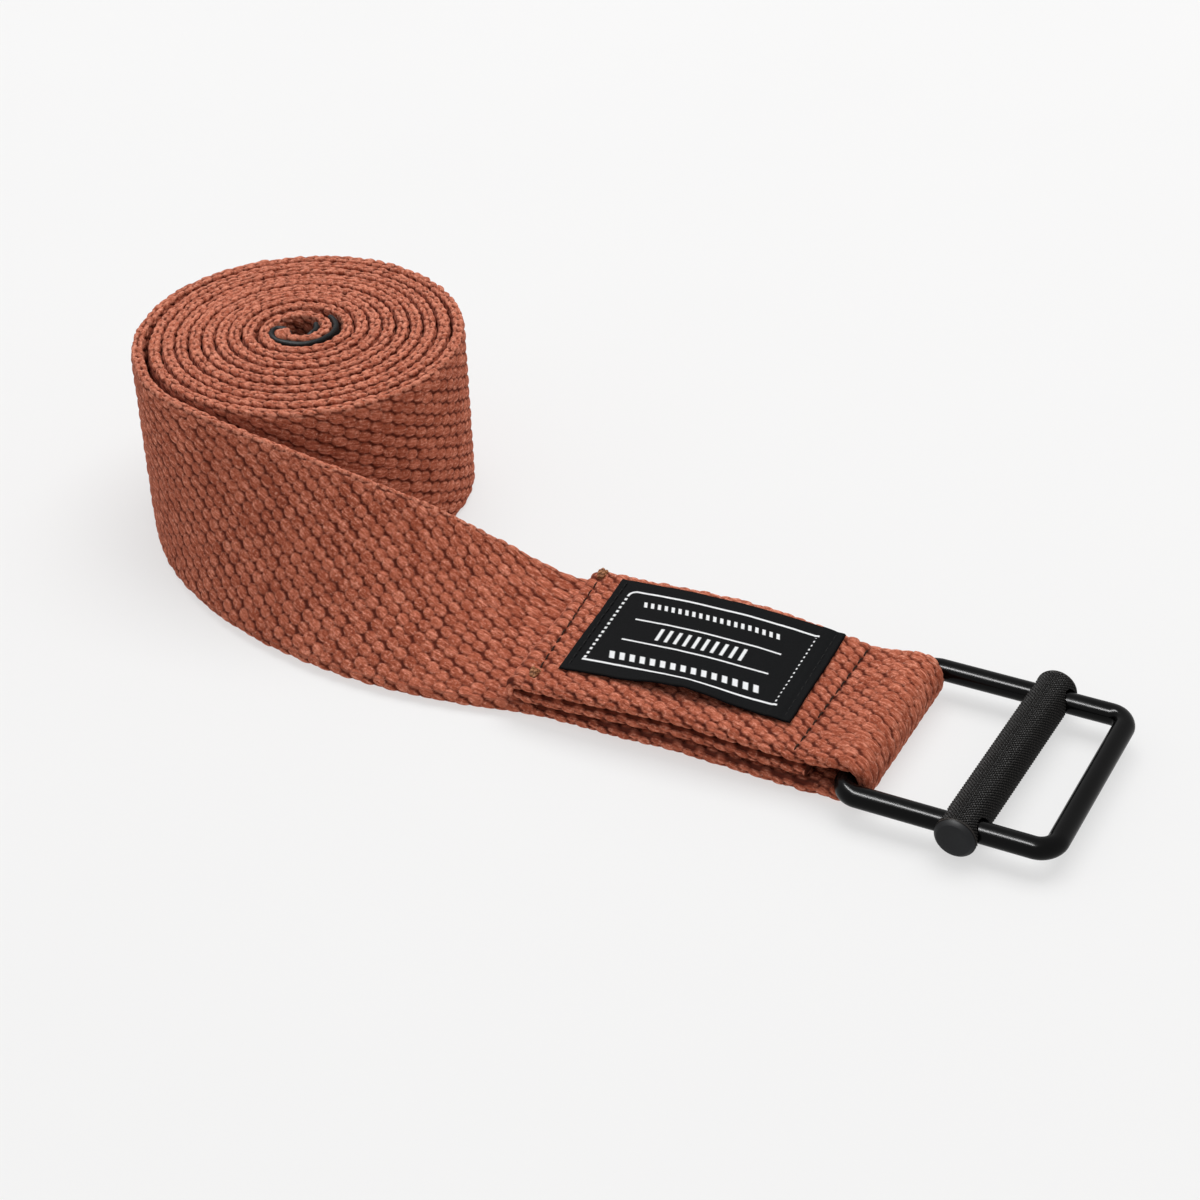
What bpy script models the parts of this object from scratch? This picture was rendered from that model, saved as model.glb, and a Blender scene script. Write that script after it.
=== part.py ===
"""Stretching strap: a long woven strap rolled up on its edge, with a wire frame buckle and a sliding
bar on its stitched end.

Lengths are in millimetres and become metres when an object is made. +X runs along the flat stitched
end towards the buckle, +Y across the strap from its near edge to its far edge, and +Z up. The table
is the plane z = 0, and the coil stands on it. The working frame has y = 0 on the buckle's middle
line and x = 0 in the middle of the stitched pad. The scene's origin is ORIGIN, on the coil's lower
edge, about 8 mm round the coil from where the strap leaves it.
"""

import math
from collections import namedtuple

import bmesh
import bpy
import numpy as np
from mathutils import Matrix

# ---- strap ------------------------------------------------------------------------------
STRAP_WIDTH = 38.0
STRAP_THICK = 2.4
LOOP_WIDTH = 37.2  # the strap is drawn in where it turns round the pivot bar
HINGE_GAP = 1.0  # the strap is split at each hinge line, and each side keeps this far from it
FIT_GAP = 0.08  # between the strap and what lies on it

# ---- coil -------------------------------------------------------------------------------
COIL_RADIUS = 35.2  # outer face of the outermost turn, where the strap leaves the coil
COIL_PITCH = 2.73  # from one turn to the next
COIL_SLACK = 0.9  # the outermost turn stands off the one inside it
SLACK_TURNS = 0.8  # the slack is taken up over this many turns
COIL_TURNS = 9.955
COIL_STEPS = 40  # straight steps in one turn
EYE_DRIFT = (-1.15, 1.8)  # from the middle of the outermost turn to that of the innermost
DRIFT_FROM = 0.5  # turns in from the outside where the drift begins
TIP_SHIFT = 1.35  # the last turn runs closer in, to leave room for the tip cover
TIP_SHIFT_BEFORE = 1.15  # turns before the strap's end where the shift begins
TIP_SHIFT_TURNS = 0.55
ORIGIN_DEPTH = 0.3 * STRAP_THICK  # of the origin, outward from the strap's inner face

# ---- tail: the strap's way from the buckle end back to the coil -------------------------
# Distance from the start of the flat end, heading and lean in degrees.
# A lean of 0 is flat on the table and 90 is standing on its edge.
TAIL_STATION = (0.0, 10.0, 20.0, 40.0, 60.0, 80.0, 98.0, 115.0, 126.0)
TAIL_HEADING = (0.0, 11.1, 11.1, -0.1, -10.7, -22.7, -36.0, -49.1, -50.9)
TAIL_LEAN = (3.4, 9.8, 19.8, 35.8, 50.3, 63.6, 77.5, 88.3, 90.0)
PATH_STEP = 0.5  # for adding up the heading along the tail
UNROLL_AT = TAIL_STATION[-1]
BEND_AT = 20.0

# ---- stitched pad -----------------------------------------------------------------------
FLAT_START_X = -20.0
NEAR_EDGE_TAIL = -20.0  # y of the strap's near edge at the start of the flat end
NEAR_EDGE_PAD = -19.1
NEAR_EDGE_LOOP = -LOOP_WIDTH / 2
NARROW_START_X = 8.0  # the near edge is at NEAR_EDGE_PAD here, and moves away to either side
NARROW_LENGTH = 26.0
PAD_LEAN_X = (-20.0, -5.0, 12.0, 26.0, 37.0)
PAD_LEAN = (3.4, 3.2, 2.1, 0.8, 0.0)  # degrees, at the stations PAD_LEAN_X
PAD_ARCH = 1.5  # the pad bows up off the table in its middle
ARCH_TAIL_X, ARCH_TOP_X, ARCH_LOOP_X = -39.0, 4.0, 40.0
LAYER_STEP = 2.8  # from the middle of one layer to the next in the stack of three
PAD_TOP = STRAP_THICK + 2 * LAYER_STEP

# ---- buckle -----------------------------------------------------------------------------
BAR_X = 39.0
WIRE_DIAMETER = 4.2
LOOP_CLEARANCE = 0.25
BAR_Z = STRAP_THICK + LOOP_CLEARANCE + WIRE_DIAMETER / 2
CLEAR_WIDTH = 38.2  # inside the frame, across the strap
FRAME_SPREAD = CLEAR_WIDTH + WIRE_DIAMETER
FRAME_LENGTH = 40.4  # pivot bar to outer bar, middle to middle
FRAME_BEND = 3.4  # bend radius at the wire's middle

SLIDER_DIAMETER = 8.2
SLIDER_LENGTH = 51.0
SLIDER_HOLE = 5.2
SLIDER_CHAMFER = 0.55
SLIDER_AT = 24.4  # from the pivot bar
CUTTER_LENGTH = SLIDER_DIAMETER * 1.6

# ---- hem, seams and label ---------------------------------------------------------------
HEM_FOLD_X = -30.6  # where the flap's raw end is turned under
TUCK_END_X = 31.0  # where the turned-under end stops
HEM_STITCH_X = -26.6
HEM_SKEW = 2.2  # the hem seam's far end lies this much nearer the coil than its near end
BUCKLE_STITCH_X = 28.6
BUCKLE_SKEW = 0.4  # the buckle seam's far end lies this much nearer the buckle
RISE_END_X = BUCKLE_STITCH_X + 1.0  # the flap reaches the top of the stack here
SEAM_INSET = 2.2  # from the pad's edges
SEAM_NEAR_Y = NEAR_EDGE_PAD + SEAM_INSET
SEAM_FAR_Y = NEAR_EDGE_PAD + STRAP_WIDTH - SEAM_INSET
HEM_SEAM_SHORT = 2.4  # the hem seam stops this short, where its backtacks take over
BACKTACK_INSET = 0.4
BUCKLE_SEAM_OVERRUN = 0.4
SEAM_STEPS = 13  # sections along a seam

NEEDLE_HALF_WIDTH, NEEDLE_THICK = 0.25, 0.3
HEM_NEEDLE_GAP, BUCKLE_NEEDLE_GAP = 0.08, 0.12  # from the pad's top to the thread
FINE_HALF_WIDTH, FINE_THICK, FINE_GAP = 0.2, 0.22, 0.06  # bobbin and label threads
BACKTACK_HALF_WIDTH, BACKTACK_TOP = 0.6, 0.6
BACKTACK_REACH = (-0.1, 1.2)  # x and y from a backtack's middle to its far end

LABEL_CENTRE = (1.1, 2.0)
LABEL_LENGTH, LABEL_WIDTH, LABEL_THICK = 47.0, 29.6, 0.5
LABEL_TURN = math.radians(2.5)
LABEL_SEAM_INSET = 1.6  # from the label's short edges
LABEL_SEAM_END = 1.0  # from the label's long edges

# ---- tip cover --------------------------------------------------------------------------
TIP_LEAF = 0.7
TIP_SPAN = 188.0 / 360  # turns of the coil it covers
TIP_SEAM_INSET = 14 / 360  # turns, from the cover's open ends
TIP_SEAM_END = 1.5  # from the strap's edges
TIP_THREAD_THICK = 0.25
TIP_THREAD_GAP = 0.03

SMOOTH_ANGLE = math.radians(35)

# Where a piece's origin lies, and the empty it hangs from (None for the scene itself).
Mount = namedtuple("Mount", "pivot empty")


# ---- rules for curves -------------------------------------------------------------------
def smooth(stations, values, where):
    """A smooth curve through the values at the stations, read at where."""
    stations, values, where = (np.asarray(a, float) for a in (stations, values, where))
    step = np.diff(stations)
    slope = np.diff(values) / step
    tangent = np.empty_like(values)
    weighted = slope[:-1] * step[1:] + slope[1:] * step[:-1]
    tangent[1:-1] = weighted / (stations[2:] - stations[:-2])
    tangent[0], tangent[-1] = slope[0], slope[-1]
    i = np.clip(np.searchsorted(stations, where) - 1, 0, len(stations) - 2)
    h = step[i]
    u = (where - stations[i]) / h
    return (
        (2 * u**3 - 3 * u**2 + 1) * values[i]
        + (u**3 - 2 * u**2 + u) * h * tangent[i]
        + (-2 * u**3 + 3 * u**2) * values[i + 1]
        + (u**3 - u**2) * h * tangent[i + 1]
    )


def ease(t):
    """From 0 to 1 with level ends."""
    t = np.clip(t, 0.0, 1.0)
    return t * t * (3 - 2 * t)


def running_length(rate):
    """Running sum, by trapezoids, of a rate sampled every PATH_STEP."""
    return np.concatenate([[0], np.cumsum((rate[1:] + rate[:-1]) / 2 * PATH_STEP)])


# ---- pad shape --------------------------------------------------------------------------
def pad_lift(x):
    """Height of the pad's underside at its near edge."""
    x = np.asarray(x, float)
    reach = np.where(x < ARCH_TOP_X, ARCH_TOP_X - ARCH_TAIL_X, ARCH_LOOP_X - ARCH_TOP_X)
    u = np.clip((x - ARCH_TOP_X) / reach, -1, 1)
    return PAD_ARCH * np.cos(math.pi / 2 * u) ** 2


def narrowing(x):
    """0 on the pad, 1 at the loop."""
    return float(ease((x - NARROW_START_X) / NARROW_LENGTH))


def pad_width(x):
    return STRAP_WIDTH + (LOOP_WIDTH - STRAP_WIDTH) * narrowing(x)


def pad_near_edge(x):
    """y of the pad's near edge."""
    to_tail = float(ease((NARROW_START_X - x) / (NARROW_START_X - FLAT_START_X)))
    return (
        NEAR_EDGE_PAD
        + (NEAR_EDGE_TAIL - NEAR_EDGE_PAD) * to_tail
        + (NEAR_EDGE_LOOP - NEAR_EDGE_PAD) * narrowing(x)
    )


def pad_point(x, height, across):
    """A point of the stitched end: height above its underside, across from its near edge."""
    lean_x = min(max(x, PAD_LEAN_X[0]), PAD_LEAN_X[-1])
    lean = math.radians(float(smooth(PAD_LEAN_X, PAD_LEAN, lean_x)))
    return np.array(
        [
            x,
            pad_near_edge(x) + across * math.cos(lean) - height * math.sin(lean),
            float(pad_lift(x)) + across * math.sin(lean) + height * math.cos(lean),
        ]
    )


def pad_point_at_y(x, y, height):
    return pad_point(x, height, y - pad_near_edge(x))


# ---- tail shape -------------------------------------------------------------------------
def tail_frames(distances):
    """The strap at these distances back from the start of the flat end.

    Gives its lower edge corner, its width direction, its face normal and the level direction
    square to its heading.
    """
    fine = np.arange(0, TAIL_STATION[-1] + PATH_STEP / 2, PATH_STEP)
    heading = np.radians(smooth(TAIL_STATION, TAIL_HEADING, fine))
    path_x = FLAT_START_X - running_length(np.cos(heading))
    path_y = NEAR_EDGE_TAIL - running_length(np.sin(heading))

    heading = np.radians(smooth(TAIL_STATION, TAIL_HEADING, distances))
    lean = np.radians(smooth(TAIL_STATION, TAIL_LEAN, distances))[:, None]
    level = np.stack([-np.sin(heading), np.cos(heading), 0 * heading], -1)
    up = np.array([0, 0, 1.0])
    across = np.cos(lean) * level + np.sin(lean) * up
    normal = -np.sin(lean) * level + np.cos(lean) * up
    x = np.interp(distances, fine, path_x)
    edge = np.stack([x, np.interp(distances, fine, path_y), pad_lift(x)], -1)
    return edge + STRAP_THICK * np.sin(lean) * level, across, normal, level


def unroll_place():
    """Mid-thickness point where the strap leaves the coil, the coil's centre and start angle."""
    edge, _, _, level = (part[0] for part in tail_frames([UNROLL_AT]))
    centre = edge + level * (COIL_RADIUS - STRAP_THICK)
    return edge - level * STRAP_THICK / 2, centre, math.atan2(-level[1], -level[0])


def bend_place():
    """The middle of the strap's width and thickness at BEND_AT."""
    edge, across, normal, _ = (part[0] for part in tail_frames([BEND_AT]))
    return edge + normal * STRAP_THICK / 2 + across * STRAP_WIDTH / 2


UNROLL_PIVOT, COIL_CENTRE, COIL_START_ANGLE = unroll_place()


# ---- coil shape -------------------------------------------------------------------------
def coil_outer_radius(turns):
    """Radius of the strap's outer face this many turns in from where it leaves the coil."""
    return (
        COIL_RADIUS
        - COIL_PITCH * turns
        - COIL_SLACK * ease(turns / SLACK_TURNS)
        - TIP_SHIFT * ease((turns - (COIL_TURNS - TIP_SHIFT_BEFORE)) / TIP_SHIFT_TURNS)
    )


def coil_point(turns, radial, z):
    """A point on the coil: radial is measured outward from the strap's inner face."""
    angle = COIL_START_ANGLE - 2 * math.pi * turns
    radius = coil_outer_radius(turns) - STRAP_THICK + radial
    drift = max(0.0, turns - DRIFT_FROM) / (COIL_TURNS - DRIFT_FROM)
    x = COIL_CENTRE[0] + radius * math.cos(angle) + EYE_DRIFT[0] * drift
    y = COIL_CENTRE[1] + radius * math.sin(angle) + EYE_DRIFT[1] * drift
    return np.array([x, y, z])


# The origin lies in the middle of the coil's second flat facet. The coil's own pivot is beside it,
# on the true curve.
ORIGIN = sum(coil_point(k / COIL_STEPS, ORIGIN_DEPTH, 0) for k in (1, 2)) / 2
COIL_PIVOT = coil_point(1.5 / COIL_STEPS, ORIGIN_DEPTH, 0)


# ---- object helpers ---------------------------------------------------------------------
def material(name, colour, roughness, metallic=0.0):
    made = bpy.data.materials.new(name)
    made.use_nodes = True
    shader = made.node_tree.nodes["Principled BSDF"]
    shader.inputs["Base Color"].default_value = (*colour, 1.0)
    shader.inputs["Roughness"].default_value = roughness
    shader.inputs["Metallic"].default_value = metallic
    made.diffuse_color = (*colour, 1.0)
    return made


def add_object(name, data, pivot, mount):
    """Links an object whose origin is pivot, in the working frame, under the mount's empty."""
    obj = bpy.data.objects.new(name, data)
    bpy.context.scene.collection.objects.link(obj)
    start = ORIGIN
    if mount.empty:
        obj.parent = mount.empty
        start = mount.pivot
    obj.location = (pivot - start) / 1000
    return obj


def joint(name, pivot, mount):
    """An empty on a joint's axis, as a mount for the pieces that move with it."""
    return Mount(pivot, add_object(name, None, pivot, mount))


def add_solid(name, bm, look, pivot, mount):
    """Turns a bmesh, in millimetres from pivot, into an object."""
    bmesh.ops.recalc_face_normals(bm, faces=bm.faces)
    bmesh.ops.scale(bm, vec=(0.001,) * 3, verts=bm.verts)
    mesh = bpy.data.meshes.new(name)
    bm.to_mesh(mesh)
    bm.free()
    mesh.shade_smooth()
    mesh.set_sharp_from_angle(angle=SMOOTH_ANGLE)
    mesh.materials.append(look)
    return add_object(name, mesh, pivot, mount)


def swept(name, rings, look, mount):
    """A closed solid through rings of points, each ring the section at one station."""
    bm = bmesh.new()
    rows = [[bm.verts.new(point - mount.pivot) for point in ring] for ring in rings]
    for row, after in zip(rows, rows[1:]):
        for k in range(len(row)):
            n = (k + 1) % len(row)
            bm.faces.new((row[k], row[n], after[n], after[k]))
    bm.faces.new(rows[0][::-1])
    bm.faces.new(rows[-1])
    add_solid(name, bm, look, mount.pivot, mount)


def rod(segments, diameter, length, turn_axis):
    """A cylinder, turned a quarter turn from +Z about turn_axis."""
    bm = bmesh.new()
    bmesh.ops.create_cone(
        bm,
        cap_ends=True,
        segments=segments,
        radius1=diameter / 2,
        radius2=diameter / 2,
        depth=length,
    )
    quarter = Matrix.Rotation(math.radians(90), 3, turn_axis)
    bmesh.ops.rotate(bm, verts=bm.verts, matrix=quarter)
    return bm


# ---- the strap --------------------------------------------------------------------------
def coil_rings():
    first = HINGE_GAP / (2 * math.pi * (COIL_RADIUS - STRAP_THICK / 2))
    steps = [k / COIL_STEPS for k in range(1, int(COIL_TURNS * COIL_STEPS) + 1)]
    corners = ((0, 0), (STRAP_THICK, 0), (STRAP_THICK, STRAP_WIDTH), (0, STRAP_WIDTH))
    return [
        [coil_point(turns, radial, z) for radial, z in corners]
        for turns in [first, *steps, COIL_TURNS]
    ]


def tail_rings(distances):
    rings = []
    for edge, across, normal, _ in zip(*tail_frames(distances)):
        face = edge + normal * STRAP_THICK
        rings.append([edge, face, face + across * STRAP_WIDTH, edge + across * STRAP_WIDTH])
    return rings


def fold_path():
    """The strap's middle surface from the flat start to the raw end: (x, height, direction)."""
    low = STRAP_THICK / 2
    middle = low + LAYER_STEP
    top = middle + LAYER_STEP

    # Bottom layer, then half a turn round the pivot bar.
    path = [(x, low, 0.0) for x in np.linspace(FLAT_START_X, BAR_X, 23)]
    loop_radius = BAR_Z - low
    path += [
        (BAR_X + loop_radius * math.sin(a), BAR_Z - loop_radius * math.cos(a), a)
        for a in np.linspace(0, math.pi, 15)[1:-1]
    ]

    # From the loop's top to the top layer's height.
    loop_top = BAR_Z + loop_radius
    run = BAR_X - RISE_END_X
    for x in np.linspace(BAR_X, RISE_END_X, 8):
        t = (BAR_X - x) / run
        slope = -(top - loop_top) * 6 * t * (1 - t) / run
        height = loop_top + (top - loop_top) * float(ease(t))
        path.append((x, height, math.pi + math.atan(slope)))

    # Top layer, half a turn under at the hem, then the middle layer.
    fold = LAYER_STEP / 2
    fold_x = HEM_FOLD_X + fold + STRAP_THICK / 2
    path += [(x, top, math.pi) for x in np.linspace(RISE_END_X, fold_x, 22)[1:]]
    path += [
        (fold_x - fold * math.sin(a), middle + fold + fold * math.cos(a), math.pi + a)
        for a in np.linspace(0, math.pi, 9)[1:-1]
    ]
    path += [(x, middle, 2 * math.pi) for x in np.linspace(fold_x, TUCK_END_X, 18)]
    return path


def buckle_end_rings():
    rings = tail_rings(np.linspace(BEND_AT - HINGE_GAP, 1.5, 9))
    for x, height, direction in fold_path():
        dx = -math.sin(direction) * STRAP_THICK / 2
        dz = math.cos(direction) * STRAP_THICK / 2
        one = (x - dx, height - dz)
        other = (x + dx, height + dz)
        rings.append(
            [
                pad_point(*face, share * pad_width(face[0]))
                for face, share in ((one, 0.0), (other, 0.0), (other, 1.0), (one, 1.0))
            ]
        )
    return rings


def strap(look, coil, lead, pad):
    """The woven strap in three lengths, split at the hinge lines."""
    lead_distances = np.linspace(UNROLL_AT - HINGE_GAP, BEND_AT + HINGE_GAP, 46)
    swept("strap_coil", coil_rings(), look, coil)
    swept("strap_lead", tail_rings(lead_distances), look, lead)
    swept("strap_buckle_end", buckle_end_rings(), look, pad)


# ---- tip cover --------------------------------------------------------------------------
def tip_rings():
    """Sections along the cover's outer leaf, round the strap's end and along its inner leaf."""
    half = TIP_LEAF / 2
    middle = STRAP_THICK / 2
    reach = middle + FIT_GAP + half
    outer_leaf = np.linspace(COIL_TURNS - TIP_SPAN, COIL_TURNS, 19)
    path = [(turns, middle + reach) for turns in outer_leaf]
    end_round = 2 * math.pi * (coil_outer_radius(COIL_TURNS) - middle)
    for a in np.linspace(0, math.pi, 9)[1:-1]:
        beyond = (FIT_GAP + reach * math.sin(a)) / end_round
        path.append((COIL_TURNS + beyond, middle + reach * math.cos(a)))
    path += [(turns, middle - reach) for turns in outer_leaf[::-1]]

    points = [coil_point(turns, radial, 0) for turns, radial in path]
    top = np.array([0, 0, STRAP_WIDTH])
    rings = []
    for k, point in enumerate(points):
        ahead = points[min(k + 1, len(points) - 1)] - points[max(k - 1, 0)]
        side = np.array([-ahead[1], ahead[0], 0]) / np.linalg.norm(ahead[:2]) * half
        rings.append([point - side, point + side, point + side + top, point - side + top])
    return rings


def tip_seam(look, coil):
    """The needle thread on the cover's outer leaf and the bobbin thread on its inner leaf."""
    turns = COIL_TURNS - TIP_SPAN + TIP_SEAM_INSET
    around = TIP_THREAD_THICK / (2 * math.pi * coil_outer_radius(turns))
    clear = FIT_GAP + TIP_LEAF + TIP_THREAD_GAP
    for name, low in (
        ("tip_needle_thread", STRAP_THICK + clear),
        ("tip_bobbin_thread", -clear - TIP_THREAD_THICK),
    ):
        high = low + TIP_THREAD_THICK
        corners = ((-around, low), (around, low), (around, high), (-around, high))
        rings = [
            [coil_point(turns + shift, radial, z) for shift, radial in corners]
            for z in (TIP_SEAM_END, STRAP_WIDTH - TIP_SEAM_END)
        ]
        swept(name, rings, look, coil)


# ---- label ------------------------------------------------------------------------------
def label_xy(along, across):
    """From the label's own length and width directions to the pad's."""
    c, s = math.cos(LABEL_TURN), math.sin(LABEL_TURN)
    return LABEL_CENTRE[0] + along * c - across * s, LABEL_CENTRE[1] + along * s + across * c


def label_rings():
    under = PAD_TOP + FIT_GAP
    widths = np.linspace(-LABEL_WIDTH / 2, LABEL_WIDTH / 2, 5)
    section = [(b, under) for b in widths] + [(b, under + LABEL_THICK) for b in widths[::-1]]
    return [
        [pad_point_at_y(*label_xy(along, across), height) for across, height in section]
        for along in np.linspace(-LABEL_LENGTH / 2, LABEL_LENGTH / 2, 17)
    ]


# ---- threads on the pad -----------------------------------------------------------------
def pad_bar(ends, half_width, low, thick, steps=SEAM_STEPS):
    """Sections of a thin bar between two (x, y) points, from low up, above the pad's underside."""
    (x0, y0), (x1, y1) = ends
    length = math.hypot(x1 - x0, y1 - y0)
    side_x = -(y1 - y0) / length * half_width
    side_y = (x1 - x0) / length * half_width
    high = low + thick
    rings = []
    for t in np.linspace(0, 1, steps):
        x, y = x0 + (x1 - x0) * t, y0 + (y1 - y0) * t
        rings.append(
            [
                pad_point_at_y(x + side * side_x, y + side * side_y, height)
                for side, height in ((-1, low), (1, low), (1, high), (-1, high))
            ]
        )
    return rings


def label_stitches(look, pad):
    """One seam across the label near each short edge: left is the -X one."""
    half = LABEL_WIDTH / 2 - LABEL_SEAM_END
    low = PAD_TOP + FIT_GAP + LABEL_THICK + FINE_GAP
    for side, name in ((-1, "label_stitch_left"), (1, "label_stitch_right")):
        along = side * (LABEL_LENGTH / 2 - LABEL_SEAM_INSET)
        ends = (label_xy(along, -half), label_xy(along, half))
        swept(name, pad_bar(ends, FINE_HALF_WIDTH, low, FINE_THICK), look, pad)


def pad_seam(name, ends, needle_gap, look, pad):
    """A seam through the stack: needle thread on top, bobbin thread underneath."""
    needle = pad_bar(ends, NEEDLE_HALF_WIDTH, PAD_TOP + needle_gap, NEEDLE_THICK)
    swept(name + "_needle_thread", needle, look, pad)
    bobbin = pad_bar(ends, FINE_HALF_WIDTH, -FINE_GAP - FINE_THICK, FINE_THICK)
    swept(name + "_bobbin_thread", bobbin, look, pad)


def hem_seam(look, pad):
    ends = (
        (HEM_STITCH_X + HEM_SKEW / 2, SEAM_NEAR_Y + HEM_SEAM_SHORT),
        (HEM_STITCH_X - HEM_SKEW / 2, SEAM_FAR_Y - HEM_SEAM_SHORT),
    )
    pad_seam("hem", ends, HEM_NEEDLE_GAP, look, pad)


def hem_backtacks(look, pad):
    """A short thick lump of thread at each end of the hem seam."""
    reach_x, reach_y = BACKTACK_REACH
    low = PAD_TOP + HEM_NEEDLE_GAP
    thick = BACKTACK_TOP - HEM_NEEDLE_GAP
    for name, y in (
        ("hem_backtack_near", SEAM_NEAR_Y + BACKTACK_INSET),
        ("hem_backtack_far", SEAM_FAR_Y - BACKTACK_INSET),
    ):
        x = HEM_STITCH_X - y / (SEAM_FAR_Y - SEAM_NEAR_Y) * HEM_SKEW
        ends = ((x - reach_x, y - reach_y), (x + reach_x, y + reach_y))
        swept(name, pad_bar(ends, BACKTACK_HALF_WIDTH, low, thick, steps=4), look, pad)


def buckle_seam(look, pad):
    ends = (
        (BUCKLE_STITCH_X - BUCKLE_SKEW / 2, SEAM_NEAR_Y - BUCKLE_SEAM_OVERRUN),
        (BUCKLE_STITCH_X + BUCKLE_SKEW / 2, SEAM_FAR_Y + BUCKLE_SEAM_OVERRUN),
    )
    pad_seam("buckle", ends, BUCKLE_NEEDLE_GAP, look, pad)


# ---- buckle -----------------------------------------------------------------------------
def frame_outline():
    """The wire's middle line, a rounded rectangle, measured from the pivot bar's middle."""
    half = FRAME_SPREAD / 2 - FRAME_BEND
    near, far = FRAME_BEND, FRAME_LENGTH - FRAME_BEND
    corners = ((far, -half, -90), (far, half, 0), (near, half, 90), (near, -half, 180))
    return [
        (x + FRAME_BEND * math.cos(a), y + FRAME_BEND * math.sin(a))
        for x, y, start in corners
        for a in np.radians(np.linspace(start, start + 90, 8))
    ]


def buckle_frame(look, mount):
    """A closed wire frame."""
    curve = bpy.data.curves.new("buckle_frame", "CURVE")
    curve.dimensions = "3D"
    curve.bevel_depth = WIRE_DIAMETER / 2000
    curve.bevel_resolution = 5
    curve.resolution_u = 1
    outline = frame_outline()
    spline = curve.splines.new("POLY")
    spline.points.add(len(outline) - 1)
    for point, (x, y) in zip(spline.points, outline):
        point.co = (x / 1000, y / 1000, 0, 1)
    spline.use_cyclic_u = True
    curve.materials.append(look)
    add_object("buckle_frame", curve, mount.pivot, mount)


def slider_bar(look, mount):
    """A turned bar with chamfered ends, cross-drilled near each end for the frame's rails."""
    body = rod(segments=32, diameter=SLIDER_DIAMETER, length=SLIDER_LENGTH, turn_axis="X")
    bar = add_solid("slider_bar", body, look, mount.pivot, mount)
    chamfer = bar.modifiers.new("end chamfer", "BEVEL")
    chamfer.width = SLIDER_CHAMFER / 1000
    chamfer.segments = 1
    chamfer.limit_method = "ANGLE"
    chamfer.angle_limit = math.radians(60)
    for side, end in ((-1, "near"), (1, "far")):
        drill = rod(segments=20, diameter=SLIDER_HOLE, length=CUTTER_LENGTH, turn_axis="Y")
        where = mount.pivot + np.array([0, side * FRAME_SPREAD / 2, 0])
        cutter = add_solid("rail_hole_cutter_" + end, drill, look, where, mount)
        cutter.hide_render = True
        cutter.display_type = "WIRE"
        hole = bar.modifiers.new("rail hole", "BOOLEAN")
        hole.operation = "DIFFERENCE"
        hole.object = cutter


# ---- the whole --------------------------------------------------------------------------
def build():
    for obj in list(bpy.data.objects):
        bpy.data.objects.remove(obj)

    webbing = material("webbing", colour=(0.36, 0.105, 0.058), roughness=0.85)
    tip_cloth = material("black_tip_cloth", colour=(0.012, 0.012, 0.013), roughness=0.6)
    label_cloth = material("label_cloth", colour=(0.010, 0.010, 0.011), roughness=0.75)
    brown_thread = material("brown_thread", colour=(0.060, 0.022, 0.014), roughness=0.7)
    black_thread = material("black_thread", colour=(0.012, 0.012, 0.012), roughness=0.7)
    black_metal = material(
        "black_metal", colour=(0.012, 0.012, 0.012), roughness=0.35, metallic=1.0
    )

    # Each joint hangs from the one before it, from the coil out to the slider.
    coil = Mount(COIL_PIVOT, None)
    lead = joint("unroll_axis", UNROLL_PIVOT, coil)
    pad = joint("strap_bend_axis", bend_place(), lead)
    frame = joint("frame_pivot_axis", np.array([BAR_X, 0, BAR_Z]), pad)
    slide = joint("slider_slide_axis", np.array([BAR_X + SLIDER_AT, 0, BAR_Z]), frame)

    strap(webbing, coil, lead, pad)
    swept("tip_cover", tip_rings(), tip_cloth, coil)
    tip_seam(black_thread, coil)
    swept("woven_label", label_rings(), label_cloth, pad)
    label_stitches(black_thread, pad)
    hem_seam(brown_thread, pad)
    hem_backtacks(brown_thread, pad)
    buckle_seam(brown_thread, pad)
    buckle_frame(black_metal, frame)
    slider_bar(black_metal, slide)


build()
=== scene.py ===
"""A rolled stretching strap: woven strap, tip cover, label, sewing threads, wire frame and knurled bar.

The roll stands on its edge at -x. The strap leaves it, lies down on the way to +x, and its stitched end
loops round one side of the wire frame, which carries the knurled bar.

Lengths in the shape functions are millimetres in the working frame: x = 39 is the side of the frame in
the loop, y = 0 the middle of the frame and z = 0 the table. Near means -y, or the lower edge on the
roll, and far means +y, or the upper edge. put() turns them into metres in the row frame.
"""

import math

import bmesh
import bpy
import numpy as np
from mathutils import Matrix, Vector


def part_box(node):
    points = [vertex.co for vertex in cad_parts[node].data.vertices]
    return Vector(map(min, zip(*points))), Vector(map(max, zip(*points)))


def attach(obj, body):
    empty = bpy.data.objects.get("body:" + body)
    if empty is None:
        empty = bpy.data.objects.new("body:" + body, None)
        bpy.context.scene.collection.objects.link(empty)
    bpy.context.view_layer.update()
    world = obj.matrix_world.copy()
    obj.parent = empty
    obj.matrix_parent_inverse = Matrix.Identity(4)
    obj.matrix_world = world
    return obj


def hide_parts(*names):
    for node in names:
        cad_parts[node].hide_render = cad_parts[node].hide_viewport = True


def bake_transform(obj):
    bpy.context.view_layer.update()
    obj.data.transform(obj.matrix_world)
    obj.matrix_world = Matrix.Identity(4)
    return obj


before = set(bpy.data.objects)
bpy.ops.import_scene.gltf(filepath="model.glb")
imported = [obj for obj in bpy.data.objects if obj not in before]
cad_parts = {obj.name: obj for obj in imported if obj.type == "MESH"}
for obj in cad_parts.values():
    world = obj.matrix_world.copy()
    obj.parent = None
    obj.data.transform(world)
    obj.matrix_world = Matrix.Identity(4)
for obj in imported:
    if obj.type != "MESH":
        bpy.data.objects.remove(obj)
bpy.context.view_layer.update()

# ---- strap and roll -------------------------------------------------------------------------
STRAP_WIDTH = 38.0
STRAP_THICK = 2.4
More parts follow.
